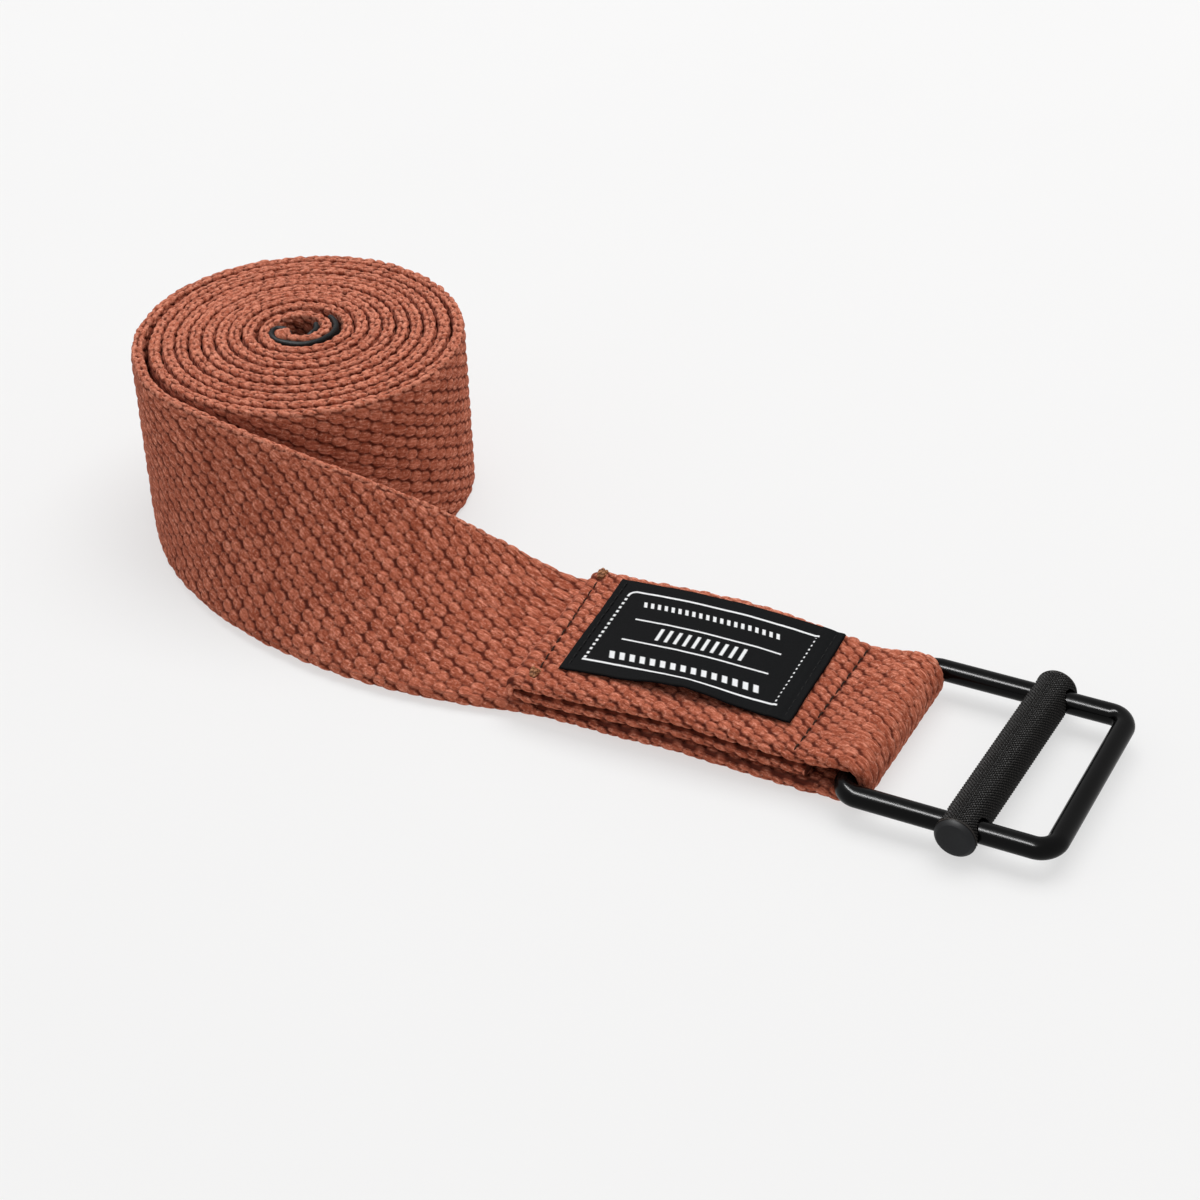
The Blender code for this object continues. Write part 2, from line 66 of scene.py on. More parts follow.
LOOP_WIDTH = 37.2
COIL_RADIUS = 35.2
COIL_PITCH = 2.73
COIL_SLACK = 0.9
COIL_TURNS = 9.955
COIL_STEPS = 40
TIP_SHIFT = 1.35
LAST_TURN = COIL_TURNS - 1.15  # where the last turn starts to sit over the tip cover

# ---- lead: the strap between the flat end and the roll --------------------------------------
# Distance back from the flat end, heading in degrees, lean from lying flat in degrees
TAIL = np.array((
    (0.0, 0.0, 3.4), (10.0, 11.1, 9.8), (20.0, 11.1, 19.8),
    (40.0, -0.1, 35.8), (60.0, -10.7, 50.3), (80.0, -22.7, 63.6),
    (98.0, -36.0, 77.5), (115.0, -49.1, 88.3), (126.0, -50.9, 90.0),
))
UNROLL_AT = TAIL[-1, 0]  # where the strap leaves the roll
TAIL_STEP = 0.5
BEND_AT = 20.0
FLAT_START_X = -20.0
NEAR_EDGE_TAIL = -20.0

# ---- stitched end ---------------------------------------------------------------------------
NEAR_EDGE_PAD = -19.1
NEAR_EDGE_LOOP = -LOOP_WIDTH / 2
PAD_LEAN = ((FLAT_START_X, 3.4), (-5.0, 3.2), (12.0, 2.1), (26.0, 0.8), (37.0, 0.0))  # x, degrees
SETTLE_X = 8.0  # the near edge runs in from the tail up to here, then the strap narrows to the loop
NARROW_LENGTH = 26.0
PAD_ARCH = 1.5
ARCH_TAIL_X, ARCH_TOP_X, ARCH_LOOP_X = -39.0, 4.0, 40.0
LAYER_STEP = 2.8
TOP = STRAP_THICK + 2 * LAYER_STEP
HEM_FOLD_X = -30.6
TUCK_END_X = 31.0
HEM_STITCH_X = -26.6
BUCKLE_STITCH_X = 28.6
BOTTOM_POINTS = 120  # points of the fold line in the bottom layer

# ---- buckle ---------------------------------------------------------------------------------
BAR_X = 39.0
WIRE_DIAMETER = 4.2
CLEAR_WIDTH = 38.2
LOOP_CLEARANCE = 0.25
BAR_Z = STRAP_THICK + LOOP_CLEARANCE + WIRE_DIAMETER / 2
FRAME_LENGTH = 40.4
FRAME_BEND = 3.4
FRAME_SPREAD = CLEAR_WIDTH + WIRE_DIAMETER
SLIDER_DIAMETER = 8.2
SLIDER_LENGTH = 51.0
SLIDER_HOLE = 5.2
SLIDER_SKEW = 1.8  # degrees
SLIDER_CENTRE = np.array([BAR_X + 24.4, 0, BAR_Z])

# ---- label and tip cover --------------------------------------------------------------------
LABEL_CENTRE = (1.1, 2.0)
LABEL_LENGTH, LABEL_WIDTH, LABEL_THICK, LABEL_TURN = 47.0, 29.6, 0.5, 2.5
LABEL_SEAM_INSET = 1.6
TIP_LENGTH_DEG = 188.0
TIP_LEAF = 1.2
TIP_GAP = 0.20  # between the strap's face and the cover

# ---- weave ----------------------------------------------------------------------------------
EDGE_RADIUS = STRAP_THICK / 2
EDGE_ARC = math.pi * EDGE_RADIUS
FACE = STRAP_WIDTH - 2 * EDGE_RADIUS
YARNS = 58  # warp yarns round the section, an even number so that the stagger closes
YARN = (2 * FACE + 2 * math.pi * EDGE_RADIUS) / YARNS
REPEAT = 5.1  # one float to the next of the same warp yarn, along the strap
REPEAT_PAD = 4.45  # the same on the stitched end, where the sewing has drawn the cloth up
PEAK = 0.56  # height of a grain over the lowest point between the yarns
SINK = 0.38

# ---- curves ---------------------------------------------------------------------------------


def smooth(stations, values, place):
    """Smooth curve through the values at the stations."""
    stations, values, place = (np.asarray(given, float) for given in (stations, values, place))
    step = np.diff(stations)
    slope = np.diff(values) / step
    tangent = np.empty_like(values)
    mixed = slope[:-1] * step[1:] + slope[1:] * step[:-1]
    tangent[1:-1] = mixed / (stations[2:] - stations[:-2])
    tangent[0], tangent[-1] = slope[0], slope[-1]
    i = np.clip(np.searchsorted(stations, place) - 1, 0, len(stations) - 2)
    span = step[i]
    part = (place - stations[i]) / span
    return (
        (2 * part**3 - 3 * part**2 + 1) * values[i]
        + (part**3 - 2 * part**2 + part) * span * tangent[i]
        + (-2 * part**3 + 3 * part**2) * values[i + 1]
        + (part**3 - part**2) * span * tangent[i + 1]
    )


def ease(part):
    part = np.clip(part, 0.0, 1.0)
    return part * part * (3 - 2 * part)


def rise(place, start, length):
    """Eases from 0 at start up to 1 at start + length."""
    return ease((place - start) / length)


def fall(place, end, length):
    """Eases from 1 at end - length down to 0 at end."""
    return ease((end - place) / length)


def scatter(i, j):
    """Repeatable values from -1 to 1 for whole numbers i and j."""
    wave = np.sin(np.asarray(i, float) * 127.1 + np.asarray(j, float) * 311.7 + 74.7) * 43758.5453
    return 2 * (wave - np.floor(wave)) - 1


def noise_along(place, seed, octaves=3):
    """Smooth repeatable noise along a line, about -1 to 1."""
    place = np.asarray(place, float)
    total, size = np.zeros_like(place), 0.0
    for k in range(octaves):
        scale = 2.0**k
        cell = np.floor(place * scale)
        here, following = (scatter(cell + i, seed + 17 * k) for i in (0, 1))
        total += (here + (following - here) * ease(place * scale - cell)) / scale
        size += 1 / scale
    return total / size


def running(steps):
    """Running total of the steps, from 0."""
    return np.concatenate([[0], np.cumsum(steps)])


def distance_along(points):
    return running(np.linalg.norm(np.diff(points, axis=0), axis=1))


def unit(vectors):
    return vectors / np.linalg.norm(vectors, axis=-1, keepdims=True)


def level_normal(ahead):
    """Level unit vectors square to a line's directions, on its right."""
    return unit(np.stack([ahead[:, 1], -ahead[:, 0], 0 * ahead[:, 0]], -1))


# ---- where the strap runs -------------------------------------------------------------------


def pad_lift(x):
    """Height of the stitched end's arch over the table."""
    x = np.asarray(x, float)
    reach = np.where(x < ARCH_TOP_X, ARCH_TOP_X - ARCH_TAIL_X, ARCH_LOOP_X - ARCH_TOP_X)
    part = np.clip((x - ARCH_TOP_X) / reach, -1, 1)
    return PAD_ARCH * np.cos(math.pi / 2 * part) ** 2


def tail_frames(back):
    """Near corner, width direction, face normal and level left at distances back from the flat end."""
    fine = np.arange(0, UNROLL_AT + TAIL_STEP / 2, TAIL_STEP)
    heading = np.radians(smooth(TAIL[:, 0], TAIL[:, 1], fine))
    walked_x, walked_y = (
        running((part[1:] + part[:-1]) / 2 * TAIL_STEP) for part in (np.cos(heading), np.sin(heading))
    )
    back = np.asarray(back, float)
    x = np.interp(back, fine, FLAT_START_X - walked_x)
    y = np.interp(back, fine, NEAR_EDGE_TAIL - walked_y)
    heading, lean = (np.radians(smooth(TAIL[:, 0], TAIL[:, k], back)) for k in (1, 2))
    left = np.stack([-np.sin(heading), np.cos(heading), 0 * heading], -1)
    up = np.array([0, 0, 1.0])
    across = np.cos(lean)[:, None] * left + np.sin(lean)[:, None] * up
    normal = -np.sin(lean)[:, None] * left + np.cos(lean)[:, None] * up
    corner = np.stack([x, y, pad_lift(x)], -1) + (STRAP_THICK * np.sin(lean))[:, None] * left
    return corner, across, normal, left


def coil_outer_radius(turns):
    return (
        COIL_RADIUS
        - COIL_PITCH * turns
        - COIL_SLACK * ease(turns / 0.8)
        - TIP_SHIFT * rise(turns, LAST_TURN, 0.55)
    )


UNROLL_CORNER, _, _, _left = tail_frames([UNROLL_AT])
UNROLL_CORNER, UNROLL_LEFT = UNROLL_CORNER[0], _left[0]
CENTRE = UNROLL_CORNER + UNROLL_LEFT * (COIL_RADIUS - STRAP_THICK)
START = math.atan2(-UNROLL_LEFT[1], -UNROLL_LEFT[0])  # angle at which the strap joins the roll


def origin_point(turns):
    radius = coil_outer_radius(turns) - 0.7 * STRAP_THICK
    angle = START - 2 * math.pi * turns
    return [CENTRE[0] + radius * math.cos(angle), CENTRE[1] + radius * math.sin(angle), 0]


# The row frame starts inside the roll's first turn.
ORIGIN = np.mean([origin_point(k / COIL_STEPS) for k in (1, 2)], axis=0)


def put(points):
    """Working frame in millimetres to row frame in metres."""
    return (np.asarray(points, float) - ORIGIN) / 1000


# The working frame is only right if the loaded sliding bar sits where these sizes put it.
_low, _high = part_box("slider_bar")
_off = np.array((_low + _high) / 2) - put(SLIDER_CENTRE)
if np.abs(_off).max() > 2e-4:
    raise SystemExit(f"the packed model and this script disagree by {_off}")


def turn_slack(turns):
    """How far each visible turn stands off an even winding.

    The first turn keeps its full radius until it has passed the far side. The turns inside lie
    against it, and the slack gathers in the gap where the lead peels off.
    """
    part = np.mod(turns, 1.0)
    first = 0.40 * ease(part / 0.25) * fall(part, 0.85, 0.35) - COIL_SLACK * rise(part, 0.45, 0.55)
    share = 0.78 * np.clip(1 - (turns - 1) / 7, 0, 1)
    inside = (COIL_SLACK + first) * ease(part / 0.25) * share - COIL_SLACK
    return np.where(turns < 1, first, inside)


def turn_radius(turns):
    """Middle radius of the roll: a spiral with the slight unevenness of a hand-rolled strap."""
    turns = np.asarray(turns, float)
    radius = coil_outer_radius(turns) - STRAP_THICK / 2
    radius = radius + COIL_SLACK * ease(turns / 0.8) + turn_slack(turns)
    uneven = 0.10 * noise_along(turns * 3.1, seed=5) * rise(turns, 0.15, 0.6)
    # The last turns are rolled a little tighter, and the last few millimetres run straight on.
    tight = 0.15 * rise(turns, COIL_TURNS - 2.1, 0.5) + 0.42 * rise(turns, LAST_TURN, 0.5)
    return radius + uneven - tight + 0.60 * rise(turns, COIL_TURNS - 0.13, 0.13)


def coil_frames(turns):
    """Middle of the lower edge, width direction and outward face normal of the roll."""
    turns = np.asarray(turns, float)
    angle = START - 2 * math.pi * turns
    out = np.stack([np.cos(angle), np.sin(angle), 0 * angle], -1)
    middle = np.array([CENTRE[0], CENTRE[1], 0]) + out * turn_radius(turns)[:, None]
    # The eye of the roll has drifted from the middle.
    middle = middle + rise(turns, 1.0, 9.0)[:, None] * np.array([-1.15, 2.15, 0.0])
    middle[:, 2] = 0.22 * (1 + noise_along(turns * 1.7, seed=9)) * rise(turns, 0.9, 0.8)
    # The face normal is square to the spiral, not just radial.
    normal = level_normal(np.gradient(middle, axis=0))
    normal *= np.sign((normal * out).sum(1))[:, None]
    return middle, np.tile([0, 0, 1.0], (len(turns), 1)), normal


def pad_axes(x):
    """Near edge, width, lean and lift of the stitched end at x."""
    stations, leans = zip(*PAD_LEAN)
    x = np.asarray(x, float)
    lean = np.radians(smooth(stations, leans, np.clip(x, stations[0], stations[-1])))
    narrow = rise(x, SETTLE_X, NARROW_LENGTH)
    settle = fall(x, SETTLE_X, SETTLE_X - FLAT_START_X)
    near = np.where(
        x < SETTLE_X,
        NEAR_EDGE_PAD + (NEAR_EDGE_TAIL - NEAR_EDGE_PAD) * settle,
        NEAR_EDGE_PAD + (NEAR_EDGE_LOOP - NEAR_EDGE_PAD) * narrow,
    )
    width = STRAP_WIDTH + (LOOP_WIDTH + 0.10 - STRAP_WIDTH) * narrow
    return near, width, lean, pad_lift(x)


def pad_at(x, height, y):
    """Points of the stitched end at x, height above its underside, and y across (absolute)."""
    x, height, y = np.broadcast_arrays(*(np.asarray(given, float) for given in (x, height, y)))
    near, _, lean, lift = pad_axes(x)
    across = y - near
    return np.stack(
        [
            x,
            near + across * np.cos(lean) - height * np.sin(lean),
            lift + across * np.sin(lean) + height * np.cos(lean),
        ],
        -1,
    )


def fold_line():
    """The stitched end's middle line from the flat start to the raw end: x, height, direction."""
    low, mid, top = (STRAP_THICK / 2 + k * LAYER_STEP for k in range(3))
    loop = WIRE_DIAMETER / 2 + LOOP_CLEARANCE + STRAP_THICK / 2
    path = [(x, low, 0.0) for x in np.linspace(FLAT_START_X, BAR_X, BOTTOM_POINTS)]
    path += [
        (BAR_X + loop * math.sin(angle), BAR_Z - loop * math.cos(angle), angle)
        for angle in np.linspace(0, math.pi, 90)[1:-1]
    ]
    # From over the wire the strap comes to the top layer's level.
    over = BAR_Z + loop
    level_x = BUCKLE_STITCH_X + 1.0
    run = BAR_X - level_x
    for x in np.linspace(BAR_X, level_x, 40):
        part = (BAR_X - x) / run
        slope = -(top - over) * 6 * part * (1 - part) / run
        path.append((x, over + (top - over) * float(ease(part)), math.pi + math.atan(slope)))
    # The hem fold, and the tucked layer back towards the loop.
    fold = LAYER_STEP / 2
    fold_x = HEM_FOLD_X + fold + STRAP_THICK / 2
    path += [(x, top, math.pi) for x in np.linspace(level_x, fold_x, 160)[1:]]
    path += [
        (fold_x - fold * math.sin(angle), mid + fold + fold * math.cos(angle), math.pi + angle)
        for angle in np.linspace(0, math.pi, 50)[1:-1]
    ]
    path += [(x, mid, 2 * math.pi) for x in np.linspace(fold_x, TUCK_END_X, 120)]
    return np.array(path)


FOLD = fold_line()
FOLD_ALONG = distance_along(FOLD[:, :2])


def pad_frames(along):
    """Frames at distances along the fold line from the flat start."""
    x, height, direction = (np.interp(along, FOLD_ALONG, FOLD[:, k]) for k in range(3))
    near, width, lean, lift = pad_axes(x)
    zero = 0 * x
    side = np.stack([zero, np.cos(lean), np.sin(lean)], -1)
    upward = np.stack([zero, -np.sin(lean), np.cos(lean)], -1)
    # The bottom layer was laid a little nearer than the two sewn on top of it.
    nearer = 1.0 * rise(x, -20.0, 18.0) * fall(x, 36.5, 7.0)
    nearer = np.where(np.asarray(along) < FOLD_ALONG[BOTTOM_POINTS - 1], nearer, 0.0)
    middle = np.stack([x, near, lift], -1) + upward * height[:, None] - side * nearer[:, None]
    across = side * (width / STRAP_WIDTH)[:, None]
    normal = np.stack([-np.sin(direction), zero, zero], -1) + upward * np.cos(direction)[:, None]
    return middle, across, normal


# ---- the weave's relief ---------------------------------------------------------------------
# Along is the distance along the strap from where it leaves the roll, positive into the roll.
# Around is the distance round the section, from the near edge of the outer face.


def weave_phase(along):
    along = np.asarray(along, float)
    on_pad = -UNROLL_AT / REPEAT + (along + UNROLL_AT) / REPEAT_PAD
    return np.where(along > -UNROLL_AT, along / REPEAT, on_pad)


def grain_dome(off_along, off_around, length, width):
    """One grain's dome, of height 1, from the offsets to its middle and its half sizes."""
    squared = np.abs(off_along / length) ** 2.1 + np.abs(off_around / width) ** 2.1
    return np.clip(1 - squared, 0, 1) ** 0.5


def relief(along, around):
    """Height of the woven surface over its plain outline, and a tone for each grain.

    Each warp yarn comes up over every second weft, so the face is a field of staggered plump grains.
    """
    along, around = np.broadcast_arrays(np.asarray(along, float), np.asarray(around, float))
    strap_phase = weave_phase(along)
    repeat = np.where(along > -UNROLL_AT, REPEAT, REPEAT_PAD)
    # 1 on the stitched end, where the yarns lean into rope-like rows
    drawn = fall(along, -UNROLL_AT + 6, 20.0)
    slant, length = 0.20 + 0.06 * drawn, (0.345 + 0.010 * drawn) * repeat
    base = np.floor(around / YARN)
    height, tone = np.zeros(along.shape), np.zeros(along.shape)
    for k in (-1, 0, 1):
        yarn = np.mod(base + k, YARNS)
        centre = (base + k + 0.5) * YARN
        drift = 0.04 * noise_along(along / 41.0 + yarn * 7.3, seed=2, octaves=1)
        phase = strap_phase + 0.03 * scatter(yarn, 3.0) + drift + 0.5 * np.mod(yarn, 2)
        cell = np.floor(phase + 0.5)
        off_along = (phase - cell + 0.025 * scatter(yarn + 11, cell + 4)) * repeat
        off_around = around - centre - slant * off_along - 0.09 * scatter(yarn + 5, cell + 2)
        size = 1 + 0.07 * scatter(yarn * 3 + 1, cell)
        grain = (PEAK + 0.06 * scatter(yarn + 2, cell + 9)) * grain_dome(
            off_along, off_around, length * size, 1.42 * (0.5 + 0.5 * size)
        )
        tone = np.where(grain > height, scatter(yarn + 31, cell + 17), tone)
        height = np.maximum(height, grain)
    # The far selvage: the weft turns back at every pick, so it shows a close plait.
    off_edge = around - FACE - EDGE_ARC / 2
    plait, plait_tone = np.zeros(along.shape), np.zeros(along.shape)
    for side in (-1, 1):
        off_row = off_edge * side - 0.64
        phase = 2 * strap_phase + 0.10 * side + 0.22 * noise_along(along / 9.0, 12 + side, octaves=2)
        cell = np.floor(phase + 0.5)
        off_along = (phase - cell) * repeat / 2 + 0.75 * off_row + 0.22 * scatter(cell, 7 + side)
        off_row = off_row + 0.12 * scatter(cell, 51 + side)
        grain = 0.55 + 0.13 * scatter(cell, 21 + side)
        grain = grain * grain_dome(off_along, off_row, length=1.50, width=0.80)
        plait_tone = np.where(grain > plait, scatter(cell, 41 + side), plait_tone)
        plait = np.maximum(plait, grain)
    selvage = fall(np.abs(off_edge), 1.75, 0.5)
    # The selvage is squarer than a half round.
    corner = 0.18 * np.exp(-(((np.abs(off_edge) - 0.95) / 0.55) ** 2))
    strand = np.floor(off_edge / 0.62)
    rough = 0.10 * noise_along(along / 0.8 + 57.0 * strand, seed=77, octaves=1) * selvage
    height = height + (plait - height) * selvage + corner + rough
    return height - SINK, np.where(selvage > 0.5, plait_tone, tone)


def ring_samples(plus, far, minus, near, deep=4.0, edge_step=0.32):
    """Positions round the section, from the steps on its outer face, far edge, inner face and near edge.

    A face step over 1 keeps fine steps for the first `deep` millimetres at each edge.
    """

    def evenly(start, length, step):
        count = round(length / step)
        return [start + length * k / count for k in range(count)]

    def face(start, step):
        if step <= 1:
            return evenly(start, FACE, step)
        fine = int(deep / edge_step)
        first = [start + k * edge_step for k in range(fine)]
        last = [start + FACE - k * edge_step for k in range(fine, 0, -1)]
        count = max(2, round((FACE - 2 * deep) / step))
        coarse = np.linspace(start + deep, start + FACE - deep, count)
        return first + [at for at in coarse if first[-1] + 0.2 < at < last[0] - 0.2] + last

    samples = face(0.0, plus) + evenly(FACE, EDGE_ARC, far)
    samples += face(FACE + EDGE_ARC, minus) + evenly(2 * FACE + EDGE_ARC, EDGE_ARC, near)
    return np.array(samples)


def outline(around):
    """Place on the plain section and its outward direction: across, out, facing across, facing out.

    Across runs 0 to 38 from the near edge, out along the face normal.
    """
    around = np.asarray(around, float)
    across, out, face_across, face_out = (np.zeros_like(around) for _ in range(4))
    half_way = FACE + EDGE_ARC
    # Each half is a face and the rounded edge after it: sign, its start, and across at that start.
    for sign, start, first in ((1, 0.0, EDGE_RADIUS), (-1, half_way, STRAP_WIDTH - EDGE_RADIUS)):
        face = (around >= start) & (around < start + FACE)
        across[face] = first + sign * (around[face] - start)
        out[face], face_out[face] = sign * EDGE_RADIUS, sign
        edge = (around >= start + FACE) & (around < start + half_way)
        angle = (around[edge] - start - FACE) / EDGE_RADIUS
        face_across[edge], face_out[edge] = sign * np.sin(angle), sign * np.cos(angle)
        across[edge] = STRAP_WIDTH - first + EDGE_RADIUS * face_across[edge]
        out[edge] = EDGE_RADIUS * face_out[edge]
    return across, out, face_across, face_out


# ---- mesh helpers ---------------------------------------------------------------------------


def raw_mesh(name, verts, quads, ngons=()):
    mesh = bpy.data.meshes.new(name)
    verts = np.asarray(verts, np.float32)
    quads = np.asarray(quads, np.int32)
    mesh.vertices.add(len(verts))
    mesh.vertices.foreach_set("co", verts.ravel())
    loops = np.concatenate([quads.ravel()] + [np.asarray(ngon, np.int32) for ngon in ngons])
    sizes = [4] * len(quads) + [len(ngon) for ngon in ngons]
    mesh.loops.add(len(loops))
    mesh.loops.foreach_set("vertex_index", loops)
    mesh.polygons.add(len(sizes))
    mesh.polygons.foreach_set("loop_start", running(sizes)[:-1].astype(np.int32))
    mesh.update(calc_edges=True)
    mesh.validate()
    mesh.shade_smooth()
    return mesh


def add(name, mesh, material):
    obj = bpy.data.objects.new(name, mesh)
    bpy.context.scene.collection.objects.link(obj)
    mesh.materials.clear()
    mesh.materials.append(material)
    return obj


def ring_quads(here, following):
    """Quads between rings of vertex numbers and the rings that follow them."""
    corners = [here, np.roll(here, -1, 1), np.roll(following, -1, 1), following]
    return np.stack(corners, -1).reshape(-1, 4)


def grid_quads(index):
    corners = [index[:-1, :-1], index[1:, :-1], index[1:, 1:], index[:-1, 1:]]
    return np.stack(corners, -1).reshape(-1, 4)


def grid_tags(along, around, third=0.0):
    """One (along, around, third) row for each point of a grid."""
    return np.stack(np.broadcast_arrays(along[:, None], around[None, :], third), -1).reshape(-1, 3)


def set_tags(mesh, tags):
    """Stores the cloth coordinates that the materials read."""
    layer = mesh.attributes.new("weave_at", "FLOAT_VECTOR", "POINT")
    layer.data.foreach_set("vector", np.asarray(tags, np.float32).ravel())


def sharpen(mesh, degrees):
    mesh.set_sharp_from_angle(angle=math.radians(degrees))


def face_outward(mesh):
    work = bmesh.new()
    work.from_mesh(mesh)
    bmesh.ops.recalc_face_normals(work, faces=work.faces)
    work.to_mesh(mesh)
    work.free()
    mesh.shade_smooth()


def tube(name, rings, material):
    """A closed body through equal rings of points given in the working frame, with flat ends."""
    rings = np.asarray(rings, float)
    points = rings.reshape(-1, 3)
    index = np.arange(len(points)).reshape(rings.shape[:2])
    quads = ring_quads(index[:-1], index[1:])
    mesh = raw_mesh(name, put(points), quads, (index[0][::-1], index[-1]))
    # Outward faces: the signed volume says which way round they are.
    corners = points[quads] - points.mean(0)
    volume = sum(
        np.einsum("ij,ij->i", corners[:, 0], np.cross(corners[:, k], corners[:, k + 1])).sum()
        for k in (1, 2)
    )
    if volume < 0:
        mesh.flip_normals()
    return add(name, mesh, material)


def cloth_tube(name, rings, material, tags):
    """A tube with sharp end rims and cloth coordinates."""
    piece = tube(name, rings, material)
    sharpen(piece.data, 60)
    set_tags(piece.data, tags)
    return piece


# ---- materials ------------------------------------------------------------------------------


class Look:
    """Small helper that builds a node material."""

    def __init__(self, name):
        self.material = bpy.data.materials.new(name)
        self.material.use_nodes = True
        self.tree = self.material.node_tree
        self.shader = self.tree.nodes["Principled BSDF"]

    def new(self, kind, **settings):
        node = self.tree.nodes.new(kind)
        for key, value in settings.items():
            setattr(node, key, value)
        return node

    def plug(self, socket, value):
        """Gives a socket a number, a colour or a link. None leaves it alone."""
        if isinstance(value, (int, float)):
            socket.default_value = value
        elif isinstance(value, tuple):
            socket.default_value = (*value, 1.0)
        elif value is not None:
            self.tree.links.new(value, socket)

    def math(self, operation, first, second=None):
        node = self.new("ShaderNodeMath", operation=operation)
        self.plug(node.inputs[0], first)
        self.plug(node.inputs[1], second)
        return node.outputs[0]

    def chain(self, operation, first, *others):
        for other in others:
            first = self.math(operation, first, other)
        return first

    def times(self, *parts):
        return self.chain("MULTIPLY", *parts)

    def add(self, first, second):
        return self.math("ADD", first, second)

    def minus(self, first, second):
        return self.math("SUBTRACT", first, second)

    def length(self, first, second):
        squares = self.add(self.times(first, first), self.times(second, second))
        return self.math("SQRT", squares)

    def mix(self, factor, first, second):
        node = self.new("ShaderNodeMix", data_type="RGBA", blend_type="MIX")
        self.plug(node.inputs["Factor"], factor)
        self.plug(node.inputs[6], first)
        self.plug(node.inputs[7], second)
        return node.outputs[2]

    def noise(self, vector, scale, detail=3.0, roughness=0.55):
        node = self.new("ShaderNodeTexNoise")
        self.plug(node.inputs["Scale"], scale)
        self.plug(node.inputs["Detail"], detail)
        self.plug(node.inputs["Roughness"], roughness)
        self.plug(node.inputs["Vector"], vector)
        return node.outputs["Fac"]

    def vector(self, *parts):
        node = self.new("ShaderNodeCombineXYZ")
        for socket, value in zip(node.inputs, parts):
            self.plug(socket, value)
        return node.outputs[0]

    def ramp(self, value, low, high, start=0.0, end=1.0, kind="LINEAR"):
        """Runs from start where the value is low to end where it is high."""
        node = self.new("ShaderNodeMapRange", interpolation_type=kind)
        names = ("Value", "From Min", "From Max", "To Min", "To Max")
        for name, given in zip(names, (value, low, high, start, end)):
            self.plug(node.inputs[name], given)
        return node.outputs["Result"]

    def fade(self, value, low, high, kind="LINEAR"):
        return self.ramp(value, low, high, start=1.0, end=0.0, kind=kind)

    def band(self, value, low, high, soft=0.06):
        """1 between low and high."""
        up = self.ramp(value, low - soft, low + soft)
        return self.times(up, self.fade(value, high - soft, high + soft))

    def split(self, vector):
        node = self.new("ShaderNodeSeparateXYZ")
        self.plug(node.inputs[0], vector)
        return tuple(node.outputs)

    def cloth_place(self):
        return self.split(self.new("ShaderNodeAttribute", attribute_name="weave_at").outputs["Vector"])

    def object_vector(self):
        return self.new("ShaderNodeTexCoord").outputs["Object"]

    def bump(self, height, strength, distance, normal=None):
        node = self.new("ShaderNodeBump")
        self.plug(node.inputs["Strength"], strength)
        self.plug(node.inputs["Distance"], distance)
        self.plug(node.inputs["Height"], height)
        self.plug(node.inputs["Normal"], normal)
        return node.outputs[0]

    def set(self, name, value):
        self.plug(self.shader.inputs[name], value)


def webbing_material():
    look = Look("webbing")
    along, around, height = look.cloth_place()
    # Low places of the relief (the third tag, with any painted shade the pieces add) get the dark pit
    # colour below.
    high = look.ramp(height, low=-0.24, high=0.07, kind="SMOOTHSTEP")
    # The selvage's plait has no deep gaps of its own.
    edge = look.math("ABSOLUTE", look.minus(around, FACE + EDGE_ARC / 2))
    edge = look.fade(edge, low=1.3, high=2.1, kind="SMOOTHSTEP")
    high = look.math("MAXIMUM", high, look.times(edge, 0.12))
    tone = look.new("ShaderNodeAttribute", attribute_name="grain_tone").outputs["Fac"]
    # Fibres run along each float with the twist of the yarn.
    twist = look.minus(look.times(around, 1.9), look.times(along, 0.60))
    fibre_place = look.vector(look.times(along, 0.52), twist, look.times(tone, 9.0))
    fibre = look.noise(fibre_place, scale=1.0, detail=4.0, roughness=0.70)

    def patches(scale, level, detail, roughness):
        place = look.vector(look.times(along, scale), look.times(around, scale), level)
        return look.noise(place, scale=1.0, detail=detail, roughness=roughness)

    fuzz = patches(scale=1.5, level=3.0, detail=3.0, roughness=0.62)
    broad = look.noise(look.object_vector(), scale=55.0)
    crown = look.mix(tone, (0.352, 0.082, 0.0405), (0.505, 0.140, 0.077))
    # The two bright tints are partly painted highlight on the fibres and partly their paler colour; the
    # dark tints and the broad patches are the yarn's own uneven colour.
    # Tints laid over the grains: pattern, where it starts, where it is full, its share, colour
    for pattern, start, full, share, tint in (
        (fibre, 0.51, 0.65, 0.70, (0.860, 0.345, 0.228)),
        (fibre, 0.48, 0.35, 0.75, (0.195, 0.035, 0.016)),
        (fuzz, 0.56, 0.68, 0.50, (0.920, 0.450, 0.320)),
        (fuzz, 0.46, 0.34, 0.60, (0.185, 0.035, 0.017)),
        (broad, 0.40, 0.62, 0.25, (0.355, 0.086, 0.045)),
    ):
        crown = look.mix(look.ramp(pattern, low=start, high=full, end=share), crown, tint)
    # The selvage is painted paler in patches: painted light that brings the edge facing up on the roll to
    # the brightness of the flat face, with some paler fuzz there.
    selvage_painted_light = patches(scale=1.1, level=8.0, detail=2.0, roughness=0.6)
    selvage_painted_light = look.ramp(selvage_painted_light, low=0.42, high=0.60, end=0.42)
    crown = look.mix(look.times(edge, selvage_painted_light), crown, (0.880, 0.370, 0.245))
    # Painted shade: the pits between grains take a dark colour where the yarns shade each other, partly
    # also the darker fibres seen there.
    look.set("Base Color", look.mix(high, (0.118, 0.0200, 0.0095), crown))
    look.set("Roughness", 0.95)
    look.set("Specular IOR Level", 0.08)
    look.set("Sheen Weight", 0.06)
    look.set("Sheen Roughness", 0.45)
    look.set("Sheen Tint", (1.0, 0.62, 0.50))
    fuzzy = look.add(fibre, look.times(fuzz, 0.6))
    look.set("Normal", look.bump(fuzzy, strength=0.8, distance=0.00030))
    return look.material


